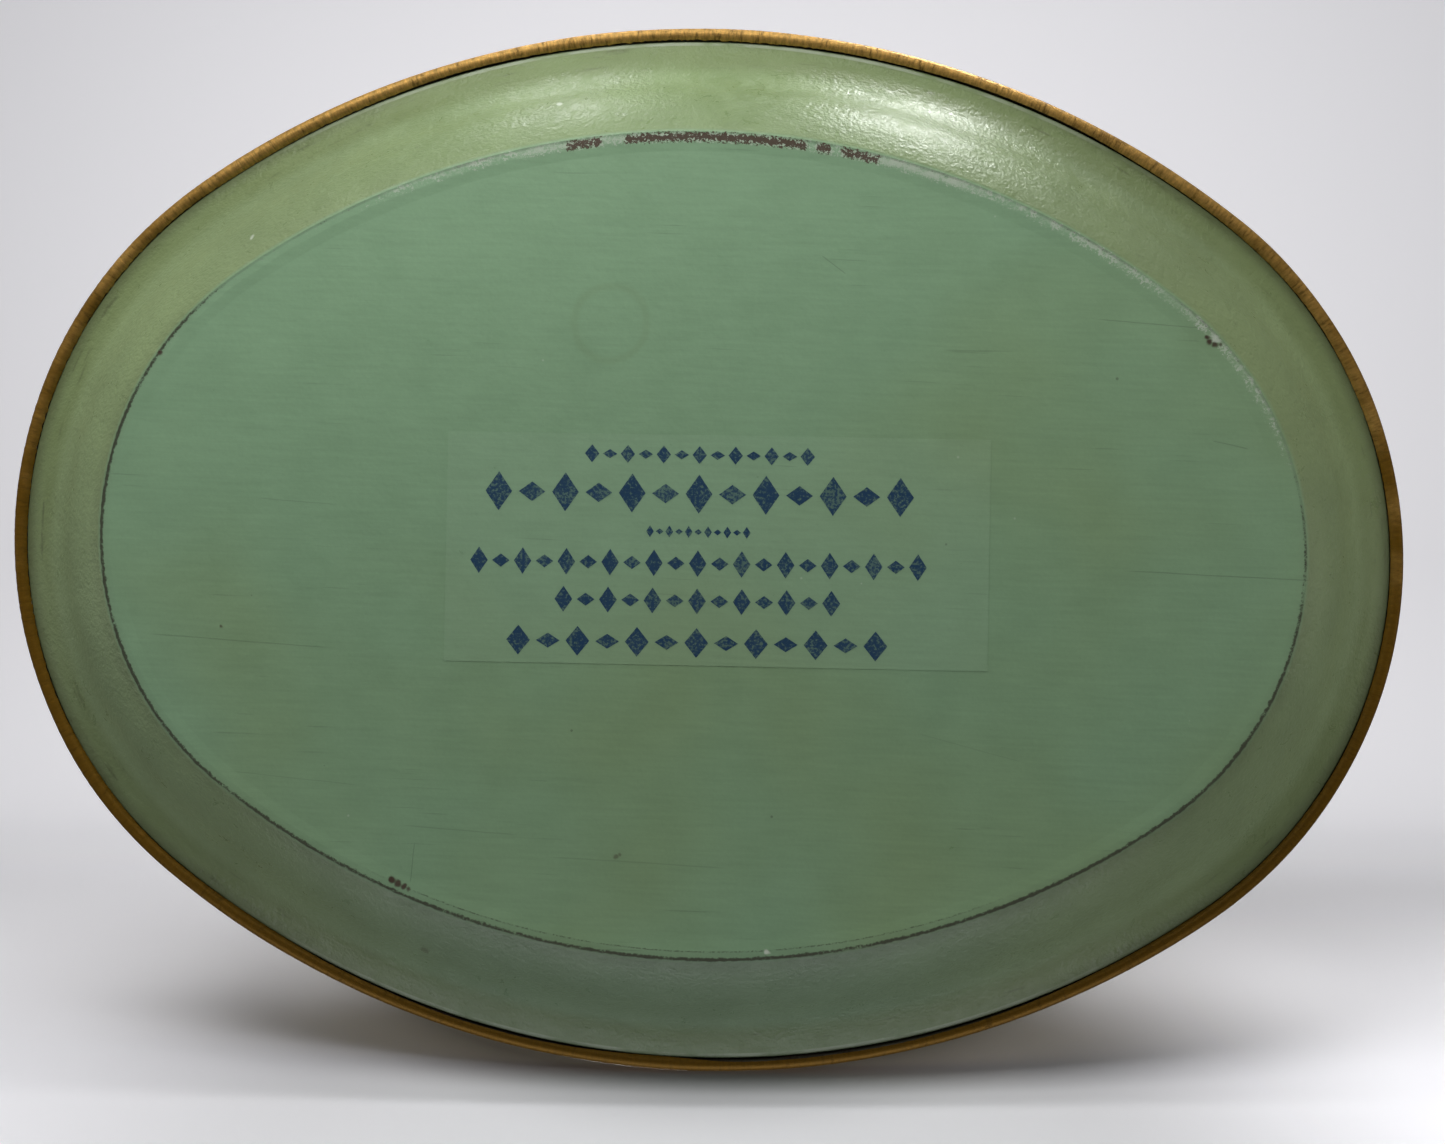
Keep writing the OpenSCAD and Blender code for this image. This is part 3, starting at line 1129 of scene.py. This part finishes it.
    def material(self) -> bpy.types.Material:
        """The enamel as it is on the tray's back, with wear and dirt along the crease and painted light and
        shade on the floor, the flange and the crease.

        Returns:
            The material.
        """
        bench = Bench("back_enamel")
        base = self.coat(bench)
        crease = Crease(bench)
        rusty, crease_dirt_and_shade, flange = crease.rusty(), crease.crease_dirt_and_shade(), self.flange(crease.path)
        colour = self.on_flange(bench, base.colour)
        colour = bench.mix(crease.rubbed() * 0.75, colour, self.tin)
        colour = bench.mix(crease.scraped() * 0.6, colour, self.tin)
        colour = bench.mix(crease_dirt_and_shade * 0.9, colour, self.soil_and_shade)
        colour = bench.mix(rusty * 0.92, colour, bench.shade(self.rust, 0.2 + crease.crumbs * 1.9))
        colour = self.marked(bench, colour)
        roughness = base.roughness + rusty * 0.35 + crease_dirt_and_shade * 0.2 - flange * 0.06
        hammered = bench.noise(bench.place, 2 * MM, 2) + bench.noise(bench.place, 0.9 * MM, 2) * 0.6
        height = base.height - rusty * 2.5 * crease.ragged + hammered * flange * 20
        bench.finish(colour, roughness.clamped(), height, ENAMEL_RELIEF, Specular_IOR_Level=0.5)
        return bench.material


@dataclass(frozen=True)
class ImprintPanel:
    """Clear size over the enamel, a little lighter and glossier than the enamel round it."""

    enamel: BackEnamel = BackEnamel()

    def material(self) -> bpy.types.Material:
        """The size with the enamel seen through it.

        Returns:
            The material.
        """
        bench = Bench("clear_size")
        base = self.enamel.coat(bench)
        colour = bench.mix(0.07, base.colour, paint(170, 190, 168))
        roughness = (base.roughness - 0.03).clamped()
        bench.finish(colour, roughness, base.height, ENAMEL_RELIEF, Specular_IOR_Level=0.5)
        return bench.material


@dataclass(frozen=True)
class ImprintInk:
    """Dark blue printer's ink, thin where the type did not bite."""

    ink: Colour = paint(14, 46, 78)
    enamel: BackEnamel = BackEnamel()

    def material(self) -> bpy.types.Material:
        """The ink, with the enamel showing through its thin places.

        Returns:
            The material.
        """
        bench = Bench("imprint_ink")
        base = self.enamel.coat(bench)
        bite = bench.noise(bench.place, 0.8 * MM, 4, 0.7)
        patch = bench.noise(bench.place, 9 * MM, 2)
        cover = (bite * 1.1 + patch * 0.4).step(0.62, 0.78)
        colour = bench.mix(cover * 0.4 + 0.56, base.colour, bench.shade(self.ink, 0.75 + bite * 0.5))
        roughness, height = (base.roughness + 0.03).clamped(), base.height + cover * 0.6
        bench.finish(colour, roughness, height, ENAMEL_RELIEF, Specular_IOR_Level=0.5)
        return bench.material


@dataclass(frozen=True)
class GoldLacquer:
    """Gold bronze lacquer over the curl, crimped across where the sheet gathers, bright gold towards +Y as
    painted light and brown below.
    """

    bright: Colour = paint(204, 160, 86)
    brown: Colour = paint(126, 91, 20)
    dark: Colour = paint(38, 26, 14)
    roughness: float = 0.46

    def material(self) -> bpy.types.Material:
        """The lacquer with its crimp streaks, bronze grain and dark flecks.

        Returns:
            The material.
        """
        bench = Bench("gold_lacquer")
        lay, place = bench.lay, bench.place
        across = bench.noise(bench.stretched(lay, 1, 1, 0.4), 0.9 * MM, 3, 0.6)
        crimp = bench.noise(bench.stretched(lay, 1, 1, 0.3), 2.6 * MM, 4, 0.6)
        grain = bench.noise(place, 0.35 * MM, 2, 0.6)
        cloud = bench.noise(lay, 16 * MM, 4, 0.6)
        _, y, _ = bench.split(place)
        # Painted light with wear: the lacquer is bright towards +Y, where the lamps fall, and brown below;
        # its crimp streaks and nicks show most there too.
        top_light_and_wear = (cloud * 0.7 + y * 3).step(0.3, 0.8)
        colour = bench.mix(top_light_and_wear, self.brown, self.bright)
        colour = bench.shade(colour, 0.7 + grain * 0.5 + (across - 0.5) * (0.6 + top_light_and_wear * 1.1))
        nick = (across * 0.55 + crimp * 0.5 + cloud * 0.15).step(0.56, 0.45)
        colour = bench.mix(nick * (0.12 + top_light_and_wear * 0.28), colour, self.dark)
        flecks = bench.specks(place, 3 * MM, 0.09, 0.12)
        colour = bench.mix(flecks * 0.7, colour, self.dark)
        roughness = self.roughness + (grain - 0.5) * 0.3 + nick * 0.2
        height = (grain - 0.5) * 1.5 + (across - 0.5) * 6 + (crimp - 0.5) * 9 - flecks
        bench.finish(colour, roughness.clamped(), height, 0.02 * MM, Metallic=0.6)
        return bench.material


@dataclass(frozen=True)
class Print:
    """A varnished colour of the face's print.

    Attributes:
        name: The material's name.
        ink: The colour where it is thick.
        thin: The colour where it is thin or worn.
        metallic: How metallic it looks.
        roughness: Roughness of the varnish over it.
    """

    name: str
    ink: Colour
    thin: Colour
    metallic: float = 0.0
    roughness: float = 0.24

    def material(self) -> bpy.types.Material:
        """The print under its yellowed varnish, with fine scratches from use.

        Returns:
            The material.
        """
        bench = Bench(self.name)
        place = bench.place
        cloud = bench.noise(place, 45 * MM, 3, 0.55)
        stipple = bench.noise(place, 0.7 * MM, 2, 0.5)
        rub = bench.noise(bench.stretched(place, 1, 0.12, 1), 3 * MM, 5, 0.7)
        rub_across = bench.noise(bench.stretched(place, 0.1, 1, 1), 3.4 * MM, 5, 0.7)
        hair = rub.step(0.66, 0.74) + rub_across.step(0.66, 0.74)
        share = ((cloud - 0.5) * 0.9 + (stipple - 0.5) * 0.5 + 0.25).clamped()
        colour = bench.mix(share, self.ink, self.thin)
        specks = bench.specks(place, 11 * MM, 0.07, 0.3)
        colour = bench.mix(specks * 0.6, colour, paint(58, 44, 30))
        colour = bench.mix((hair * 0.18).clamped(), colour, self.thin)
        roughness = self.roughness + (cloud - 0.5) * 0.12 + hair * 0.14 + specks * 0.3
        height = (stipple - 0.5) * 0.5 + (cloud - 0.5) * 8 - hair * 0.6
        varnish = {"Coat_Weight": 0.25, "Coat_Roughness": 0.12}
        bench.finish(colour, roughness.clamped(), height, 0.01 * MM, Metallic=self.metallic, **varnish)
        return bench.material


@dataclass(frozen=True)
class BareMetal:
    """Bare metal with a dull skin and rust in its pores.

    Attributes:
        name: The material's name.
        metal: Its colour where it is clean.
        rust: Its colour where it has rusted.
        share: How much of it is clean, from 0 to 1.
    """

    name: str
    metal: Colour
    rust: Colour
    share: float

    def material(self) -> bpy.types.Material:
        """The metal, clouded and pitted.

        Returns:
            The material.
        """
        bench = Bench(self.name)
        place = bench.place
        cloud = bench.noise(place, 12 * MM, 5, 0.65)
        pits = bench.noise(place, 0.8 * MM, 4, 0.7)
        clean = (cloud * 0.7 + pits * 0.3).step(0.75 - self.share * 0.4, 0.6 - self.share * 0.4)
        colour = bench.mix(clean, self.rust, bench.shade(self.metal, 0.8 + pits * 0.4))
        bench.finish(colour, 0.75 - clean * 0.35, pits + cloud, 0.015 * MM, Metallic=0.35 + clean * 0.6)
        return bench.material


# --------------------------------------------------------------------------- the tray


@dataclass
class Piece:
    """A finished piece: its name, its mesh, the slot of its finish and what it stands for."""

    shape: bpy.types.Object
    slot: str
    nodes: tuple[str, ...]

    def settle(self, material: bpy.types.Material) -> None:
        """Dresses the piece and hands it over to the frame.

        Args:
            material: The piece's only material.
        """
        self.shape.data.materials.clear()
        self.shape.data.materials.append(material)
        turned_outward(self.shape)
        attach(self.shape, BODY)
        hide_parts(*self.nodes)
        faces, nodes = len(self.shape.data.polygons), ", ".join(self.nodes)
        LOG.info("%s: %d faces, stands for %s", self.shape.name, faces, nodes)


@dataclass
class Pan:
    """The pressed sheet and everything that is swept round with it.

    Attributes:
        section: The sheet's section.
        count: How many stations the flange's pieces have.
        fine: How many the gilding has, which shows the crimps.
        rings: How many rings fill the floor panel.
        curl_steps: How many faces the curl gets across.
        gap_open: How far round the curl goes where its edge meets the flange, in degrees.
        gap_rate: How many degrees less it goes for each metre of gap.
        gaps: The gap between the curl's raw edge and the flange, which the maker's tool left
            uneven: bearings in degrees and, for each, the gap in millimetres.
    """

    section: Section = field(default_factory=Section)
    count: int = 700
    fine: int = 1980
    rings: int = 6
    curl_steps: int = 18
    gap_open: float = 336.0
    gap_rate: float = 23.0 / MM
    gaps: tuple[tuple[float, float], ...] = (
        (-180, 0.1),
        (-135, 0.2),
        (-122, 1.1),
        (-104, 1.7),
        (-95, 1.3),
        (-88, 0.3),
        (-80, 0.3),
        (-72, 1.0),
        (-58, 0.7),
        (-46, 0.1),
        (0, 0.0),
        (44, 0.15),
        (58, 0.6),
        (90, 0.55),
        (128, 0.8),
        (142, 0.2),
        (180, 0.1),
    )

    def __post_init__(self) -> None:
        """Reads the oval from the frame."""
        low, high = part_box("tinplate_pan")
        self.oval = Oval((high.x - low.x) / 2, (high.y - low.y) / 2)

    def walk(self, stations: Stations) -> Run:
        """The sheet's middle up to the curl, with the flange's gentle unevenness.

        Args:
            stations: Where it is drawn.

        Returns:
            The line at each of them.
        """
        run = self.section.walk(len(stations.along))
        flange = np.clip(run.path / (44 * MM), 0, 1)
        swell = np.sin(math.pi * flange)
        slow = Ripple(260 * MM, 70 * MM, 3).at(stations.along, stations.girth)[:, None]
        quick = Ripple(60 * MM, 22 * MM, 4).at(stations.along, stations.girth)[:, None]
        lift = swell * (0.12 * MM * slow + 0.035 * MM * quick)
        offset, height = run.surface(lift)
        return Run(offset, height, run.heading, run.path)

    def gap(self, stations: Stations) -> np.ndarray:
        """The gap between the curl's raw edge and the flange at each station."""
        bearings, gaps = zip(*self.gaps)
        return np.interp(stations.bearing, bearings, gaps) * MM

    def crimping(self, stations: Stations) -> np.ndarray:
        """How strongly the curl is crimped, most of all towards +Y and near the end at +X.

        Args:
            stations: Where it is drawn.

        Returns:
            A strength for each of them, usually from 0 to 1.
        """
        bearing = stations.bearing
        back = np.exp(-(((bearing - 86) / 17) ** 2))
        end = np.exp(-(((bearing - 14) / 30) ** 2))
        return 0.18 + 0.8 * back + 0.7 * end

    def curl(self, stations: Stations, foot: Run, crimps: float) -> Run:
        """The sheet's middle round the curl, crimped and cut unevenly.

        Args:
            stations: Where it is drawn.
            foot: The walk that ends at its foot.
            crimps: How much of the fine crimping it follows, from 0 to 1.

        Returns:
            The curl's line.
        """
        strength = self.crimping(stations)
        coarse = Ripple(9 * MM, 2.6 * MM, 5).at(stations.along, stations.girth)
        teeth = Ripple(4 * MM, 1.6 * MM, 6).at(stations.along, stations.girth)
        wave = Ripple(300 * MM, 40 * MM, 7).at(stations.along, stations.girth)
        wrap = self.gap_open - self.gap_rate * self.gap(stations)
        wrap = wrap + wave * 2 + (coarse * 2.2 + teeth * 2.4 * crimps) * strength
        share = np.linspace(0, 1, self.curl_steps + 1)[None, :]
        late = np.clip(share * 1.6 - 0.6, 0, 1)
        swell = (coarse[:, None] * 0.035 + teeth[:, None] * 0.03 * crimps) * MM * strength[:, None] * late
        return self.section.curl(foot, wrap, swell + wave[:, None] * 0.03 * MM, self.curl_steps)

    def loop(self, stations: Stations, runs: Iterable[Run], low: float, high: float) -> Shell:
        """A closed skin between two distances from the sheet's middle.

        Args:
            stations: Where it is drawn.
            runs: The stretches that it covers, end to end.
            low: Distance of its lower side from the middle.
            high: Distance of its upper side.

        Returns:
            The skin.
        """
        runs = list(runs)
        parts: list[np.ndarray] = []
        for key in ("offset", "height", "heading", "path"):
            rows = [getattr(run, key)[:, min(i, 1) :] for i, run in enumerate(runs)]
            parts.append(np.concatenate(rows, axis=1))
        line = Run(*parts)
        sides = [line.surface(low), line.surface(high)]
        offset = np.concatenate([sides[0][0], sides[1][0][:, ::-1]], axis=1)
        height = np.concatenate([sides[0][1], sides[1][1][:, ::-1]], axis=1)
        path = np.concatenate([line.path, line.path[:, ::-1]], axis=1)
        return Shell(stations.place(offset, height), path)

    def with_floor(self, shell: Shell) -> Shell:
        """Carries a skin that starts at the floor panel's edge on to the tray's middle.

        Args:
            shell: The skin.

        Returns:
            The same skin with the floor panel.
        """
        shares = np.linspace(1 / self.rings, 1, self.rings, endpoint=False)
        first, last = shell.points[:, :1, :], shell.points[:, -1:, :]

        def inward(edge: np.ndarray) -> np.ndarray:
            """Draws rings from the middle out to an edge, at the edge's own height.

            Args:
                edge: The edge's points.

            Returns:
                The rings' points, the innermost first.
            """
            rings = edge * shares[None, :, None]
            rings[:, :, 2] = edge[:, :, 2]
            return rings

        reach = np.linalg.norm(first[:, :, :2], axis=2) * (shares - 1)[None, :]
        path = shell.path[:, :1] + reach
        return Shell(
            np.concatenate([inward(first), shell.points, inward(last)[:, ::-1]], axis=1),
            np.concatenate([path, shell.path, path[:, ::-1]], axis=1),
            capped=True,
        )

    def pieces(self) -> list[Piece]:
        """Builds the pan, its back enamel, its gilding and the coats of the face's flange.

        Returns:
            The pieces, undressed.
        """
        section, half, coat = self.section, self.section.sheet / 2, self.section.coat
        stations = self.oval.stations(self.count)
        walk = self.walk(stations)
        curl = self.curl(stations, walk, 0.0)
        built: list[Piece] = []

        pan = self.with_floor(self.loop(stations, [walk, curl], -half, half))
        built.append(Piece(pan.build("pressed_pan", stations.girth), "tinplate", ("tinplate_pan",)))

        first, last = section.span("step_down", "high_line")
        back = self.with_floor(self.loop(stations, [walk.part(0, last + 4)], -half - coat * 0.6, -half))
        nodes = ("back_enamel_floor", "back_enamel_flange")
        built.append(Piece(back.build("back_enamel", stations.girth), "back_enamel", nodes))

        close = self.oval.stations(self.fine)
        foot = self.walk(close)
        corner = foot.part(*section.span("corner", "corner"))
        gilding = self.loop(close, [corner, self.curl(close, foot, 1.0)], half * 0.2, half + coat)
        built.append(Piece(gilding.build("rim_gilding_skin", close.girth), "gold_lacquer", ("rim_gilding",)))

        low = walk.part(*section.span("low_flange", "high_flange"))
        foot_ring = walk.part(*section.span("step_down", "crease"))
        for name, run in (("flange_ground", low), ("foot_ring_ground", foot_ring)):
            shell = self.loop(stations, [run], half, half + coat)
            built.append(Piece(shell.build(name, stations.girth), "face_green", ("face_flange_ground",)))
        for name, leg in (("low_gold_line", "low_line"), ("high_gold_line", "high_line")):
            shell = self.loop(stations, [walk.part(*section.span(leg, leg))], half, half + coat)
            built.append(Piece(shell.build(name, stations.girth), "face_gold", ("face_gold_lines",)))
        return built


@dataclass
class RimWire:
    """The soft iron wire inside the curl, with its two ends butted at one end of the tray."""

    diameter: float = 3 * MM
    gap: float = 0.6 * MM
    sides: int = 20
    count: int = 900

    def piece(self, oval: Oval, centre_height: float, centre_offset: float) -> Piece:
        """Bends the wire round the oval.

        Args:
            oval: The rim's outermost line.
            centre_height: Height of the wire's middle.
            centre_offset: Its offset from the rim line.

        Returns:
            The wire, closed by a flat cut at each end.
        """
        stations = oval.stations(self.count)
        turn = np.linspace(0, 2 * math.pi, self.sides, endpoint=False)
        radius = self.diameter / 2
        offset = np.tile(centre_offset + radius * np.cos(turn), (self.count, 1))
        height = np.tile(centre_height + radius * np.sin(turn), (self.count, 1))
        points = stations.place(offset, height)
        points[0] = points[0] + np.array([0, self.gap / 2, 0])
        closing = points[:1] * np.array([1, -1, 1])
        points = np.concatenate([points, closing])
        rows, columns, _ = points.shape
        faces: list[list[int]] = []
        for i in range(rows - 1):
            for j in range(columns):
                k = (j + 1) % columns
                faces.append([i * columns + j, (i + 1) * columns + j, (i + 1) * columns + k, i * columns + k])
        faces.append(list(range(columns)))
        faces.append([(rows - 1) * columns + j for j in reversed(range(columns))])
        mesh = bpy.data.meshes.new("curl_wire")
        mesh.from_pydata(points.reshape(-1, 3).tolist(), [], faces)
        mesh.shade_smooth()
        mesh.set_sharp_from_angle(angle=SHARP)
        wire = bpy.data.objects.new("curl_wire", mesh)
        bpy.context.scene.collection.objects.link(wire)
        return Piece(wire, "iron_wire", ("rim_wire",))


class Tray:
    """The whole tray: swept pieces, the wire and the flat prints."""

    def __init__(self) -> None:
        """Prepares each finish by the record's slot name."""
        cream, gold = paint(206, 186, 140), paint(196, 150, 74)
        self.finishes: dict[str, bpy.types.Material] = {
            "tinplate": BareMetal("tinplate", paint(176, 172, 158), paint(96, 74, 56), 0.6).material(),
            "iron_wire": BareMetal("iron_wire", paint(92, 86, 80), paint(60, 42, 30), 0.3).material(),
            "back_enamel": BackEnamel().material(),
            "gold_lacquer": GoldLacquer().material(),
            "face_cream": Print("face_cream", cream, paint(222, 206, 166)).material(),
            "face_green": Print("face_green", paint(28, 58, 38), paint(46, 80, 50)).material(),
            "face_gold": Print("face_gold", gold, paint(150, 106, 46), 0.75, roughness=0.3).material(),
            "leaf_green": Print("leaf_green", paint(74, 98, 44), paint(108, 124, 66)).material(),
            "berry_red": Print("berry_red", paint(140, 38, 28), paint(168, 66, 44)).material(),
            "clear_size": ImprintPanel().material(),
            "imprint_ink": ImprintInk().material(),
        }

    def build(self) -> None:
        """Builds every piece and dresses the flat prints that stay as they were packed."""
        pan = Pan()
        for piece in pan.pieces():
            piece.settle(self.finishes[piece.slot])
        low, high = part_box("rim_wire")
        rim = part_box("tinplate_pan")[1].x
        wire = RimWire()
        outset = high.x - rim - wire.diameter / 2
        wire.piece(pan.oval, (low.z + high.z) / 2, outset).settle(self.finishes["iron_wire"])
        slots = {row["node"]: row["material_slot"] for row in frame["record"]["subparts"]}
        for name, node in frame["nodes"].items():
            if not node.hide_render:
                node.data.materials.clear()
                node.data.materials.append(self.finishes[slots[name]])
                LOG.info("%s: kept as packed, in %s", name, slots[name])


# --------------------------------------------------------------------------- the studio


class Throw(Enum):
    """What a light does, as whether it lights surfaces and whether it shows in reflections."""

    LIGHT_AND_SHEEN = (True, True)
    LIGHT = (True, False)
    SHEEN = (False, True)


@dataclass(frozen=True)
class Softbox:
    """A soft oblong light that the camera doesn't see.

    Attributes:
        name: Its name.
        place: Where it stands.
        size: Its width and height.
        power: Its power in watts.
        throw: What it does.
        aim: What it points at.
        colour: The colour of its light.
    """

    name: str
    place: tuple[float, float, float]
    size: tuple[float, float]
    power: float
    throw: Throw = Throw.LIGHT_AND_SHEEN
    aim: tuple[float, float, float] = (0.0, 0.0, 0.0)
    colour: Colour = (1.0, 1.0, 1.0)

    def set_up(self) -> None:
        """Adds the light."""
        light = bpy.data.lights.new(self.name, "AREA")
        light.shape = "RECTANGLE"
        light.size, light.size_y = self.size
        light.energy = self.power
        light.color = self.colour
        lamp = bpy.data.objects.new(self.name, light)
        lamp.location = self.place
        lamp.visible_camera = False
        lamp.visible_diffuse, lamp.visible_glossy = self.throw.value
        lamp.rotation_euler = (Vector(self.aim) - Vector(self.place)).to_track_quat("-Z", "Y").to_euler()
        bpy.context.scene.collection.objects.link(lamp)


@dataclass
class Studio:
    """Floor, paper sweep, lights and camera. None of it is part of the tray.

    The camera looks up at the tray's back. The floor is seen only from above and the paper
    only from its lit side, so neither hides the tray from the other.

    Attributes:
        lens: Focal length, in millimetres.
        camera_place: Where the camera stands.
        camera_turn: How it is turned, in degrees.
        paper_level: Where the paper's flat part lies, along Y.
        paper_roll: How far the paper is turned about Z, in degrees, so that it lies level.
        paper_front: Where the paper starts, along Z, on the camera's side.
        paper_top: How high it goes behind the tray, along Y.
        paper_half: Half its width.
        bend_start: Where its bend starts, along Z.
        bend_radius: Radius of the bend.
        bend_steps: How many faces the bend gets.
        floor_half: Half the floor's width.
        floor_drop: How far the floor lies below the tray's foot.
        softboxes: The lights.
        air: Strength of the room's even light.
    """

    lens: float = 28.53
    camera_place: tuple[float, float, float] = (-12.2 * MM, -9.5 * MM, -307.4 * MM)
    camera_turn: tuple[float, float, float] = (0.49, 180.98, -2.26)
    paper_level: float = -152.7 * MM
    paper_roll: float = -2.26
    paper_front: float = -0.6
    paper_top: float = 2.5
    paper_half: float = 1.6
    bend_start: float = 0.34
    bend_radius: float = 0.16
    bend_steps: int = 16
    floor_half: float = 3.0
    floor_drop: float = 0.2 * MM
    softboxes: tuple[Softbox, ...] = (
        Softbox("left_lamp", (0.12, 0.42, 0.075), (0.08, 0.09), 0.17, Throw.SHEEN, (0.05, 0.13, 0.01)),
        Softbox("right_lamp", (-0.14, 0.42, 0.075), (0.1, 0.09), 0.52, Throw.SHEEN, (-0.05, 0.13, 0.01)),
        Softbox("front_fill", (0.16, 0.46, -0.25), (0.4, 0.16), 2.65, Throw.LIGHT),
        Softbox("ceiling", (-0.05, 0.75, -0.11), (1.2, 0.08), 2.5, Throw.LIGHT, (-0.05, -0.15, -0.08)),
        Softbox("front_sheen", (0.1, 0.47, -0.33), (0.6, 0.3), 1.0, Throw.SHEEN),
        Softbox("left_wall", (0.6, -0.08, -0.2), (0.2, 0.5), 0.8, Throw.LIGHT),
        Softbox("right_wall", (-0.6, 0.0, -0.2), (0.2, 0.5), 1.2, Throw.LIGHT),
        Softbox("paper_bounce", (0.0, -0.36, -0.14), (0.7, 0.2), 0.5, colour=(0.95, 0.97, 1.0)),
        Softbox("over_face", (0.3, -0.5, 1.3), (0.9, 0.9), 22.0),
    )
    air: float = 0.04

    def under_rim(self, x: Signal, height: Signal) -> Signal:
        """How deep the shade is on the paper where the rim stands on it.

        Args:
            x: Place along the tray.
            height: Place along Z, from the tray's foot towards its rim.

        Returns:
            1 where the camera sees the paper meet the rim, falling to 0 in front of it.
        """
        meeting = height - 24 * MM - x * x * 5
        near = (meeting / (44 * MM) + 1).clamped() ** 2
        return near * abs(x).step(0.17, 0.06) * height.step(0.3, 0.14)

    def one_sided(
        self, name: str, colour: Colour, glow: float = 0.0, beside: float = 0.0, contact: float = 0.0
    ) -> bpy.types.Material:
        """A pale paper that is seen only from its front.

        Args:
            name: The material's name.
            colour: The paper's colour.
            glow: How much it lights up by itself, so that its far parts stay pale.
            beside: The same for its low parts beside the tray, most of all towards -X.
            contact: How much darker it is right under the rim.

        Returns:
            The material.
        """
        bench = Bench(name)
        x, _, height = bench.split(bench.place)
        pale = bench.node("ShaderNodeBsdfDiffuse", {}, {"Color": colour})
        black = bench.node("ShaderNodeBsdfDiffuse", {}, {"Color": (0.0, 0.0, 0.0)})
        shade = self.under_rim(x, height) * contact
        paper = bench.node("ShaderNodeMixShader", {}, {0: shade, 1: pale.outputs[0], 2: black.outputs[0]})
        aside = (x.step(0.1, 0.22) * 0.35 + x.step(-0.1, -0.22)) * height.step(0.25, 0.05) * beside
        glowing = bench.shade(colour, height.step(0.04, 0.4) * glow + aside)
        light = bench.node("ShaderNodeEmission", {}, {"Color": glowing, "Strength": 1.0})
        both = bench.node("ShaderNodeAddShader", {}, {0: paper.outputs[0], 1: light.outputs[0]})
        clear = bench.node("ShaderNodeBsdfTransparent", {}, {})
        back = bench.node("ShaderNodeNewGeometry", {}, {}).outputs["Backfacing"]
        shown = bench.node("ShaderNodeMixShader", {}, {0: back, 1: both.outputs[0], 2: clear.outputs[0]})
        bench.node("ShaderNodeOutputMaterial", {}, {"Surface": shown.outputs[0]})
        return bench.material

    def lay_out(
        self,
        name: str,
        points: list[tuple[float, float, float]],
        faces: list[tuple[int, ...]],
        material: bpy.types.Material,
    ) -> bpy.types.Object:
        """Adds a surface of the stage, which only the camera sees.

        Args:
            name: Its name.
            points: Its corners.
            faces: The corners' numbers for each face.
            material: Its only material.

        Returns:
            The surface.
        """
        mesh = bpy.data.meshes.new(name)
        mesh.from_pydata(points, [], faces)
        mesh.materials.append(material)
        mesh.shade_smooth()
        surface = bpy.data.objects.new(name, mesh)
        surface.visible_diffuse = surface.visible_glossy = False
        surface.visible_transmission = surface.visible_shadow = False
        bpy.context.scene.collection.objects.link(surface)
        surface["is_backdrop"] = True
        return surface

    def stage(self) -> None:
        """Lays the floor and hangs the paper."""
        far, drop = self.floor_half, -self.floor_drop
        corners = [(-far, -far, drop), (far, -far, drop), (far, far, drop), (-far, far, drop)]
        self.lay_out("floor", corners, [(0, 1, 2, 3)], self.one_sided("floor_paper", paint(214, 214, 211)))
        level, start, radius = self.paper_level, self.bend_start, self.bend_radius
        profile = [(level, self.paper_front), (level, start)]
        for step in range(1, self.bend_steps + 1):
            turn = math.pi / 2 * step / self.bend_steps
            profile.append((level + radius * (1 - math.cos(turn)), start + radius * math.sin(turn)))
        profile.append((self.paper_top, start + radius))
        points = [(side * self.paper_half, y, z) for y, z in profile for side in (-1, 1)]
        faces = [(2 * i, 2 * i + 2, 2 * i + 3, 2 * i + 1) for i in range(len(profile) - 1)]
        white = self.one_sided("sweep_paper", paint(224, 223, 227), glow=0.45, beside=0.62, contact=0.6)
        paper = self.lay_out("paper_sweep", points, faces, white)
        paper.rotation_euler.z = self.paper_roll * DEGREE

    def shine(self) -> None:
        """Sets the lamps and the even light of the room."""
        for box in self.softboxes:
            box.set_up()
        world = bpy.data.worlds.new("room")
        bpy.context.scene.world = world
        world.use_nodes = True
        background = world.node_tree.nodes["Background"]
        background.inputs["Color"].default_value = (0.93, 0.96, 1.0, 1.0)
        background.inputs["Strength"].default_value = self.air

    def aim(self) -> None:
        """Adds the camera under the tray, looking up at its back."""
        camera = bpy.data.cameras.new("camera")
        camera.lens = self.lens
        camera.sensor_width = 36.0
        camera.clip_start = 0.01
        mount = bpy.data.objects.new("camera", camera)
        mount.location = self.camera_place
        mount.rotation_euler = Euler([turn * DEGREE for turn in self.camera_turn])
        bpy.context.scene.collection.objects.link(mount)
        bpy.context.scene.camera = mount
        bpy.context.scene.view_settings.view_transform = "Standard"


def corners() -> list[list[float]]:
    """The shown object's lowest and highest corners, as plain lists."""
    return [list(corner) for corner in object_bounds()]


def main() -> None:
    """Builds the tray and its studio."""
    logging.basicConfig(level=logging.INFO, format="%(name)s: %(message)s")
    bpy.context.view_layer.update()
    studio = Studio()
    studio.aim()
    studio.stage()
    studio.shine()
    Tray().build()


if __name__ == "__main__":
    main()
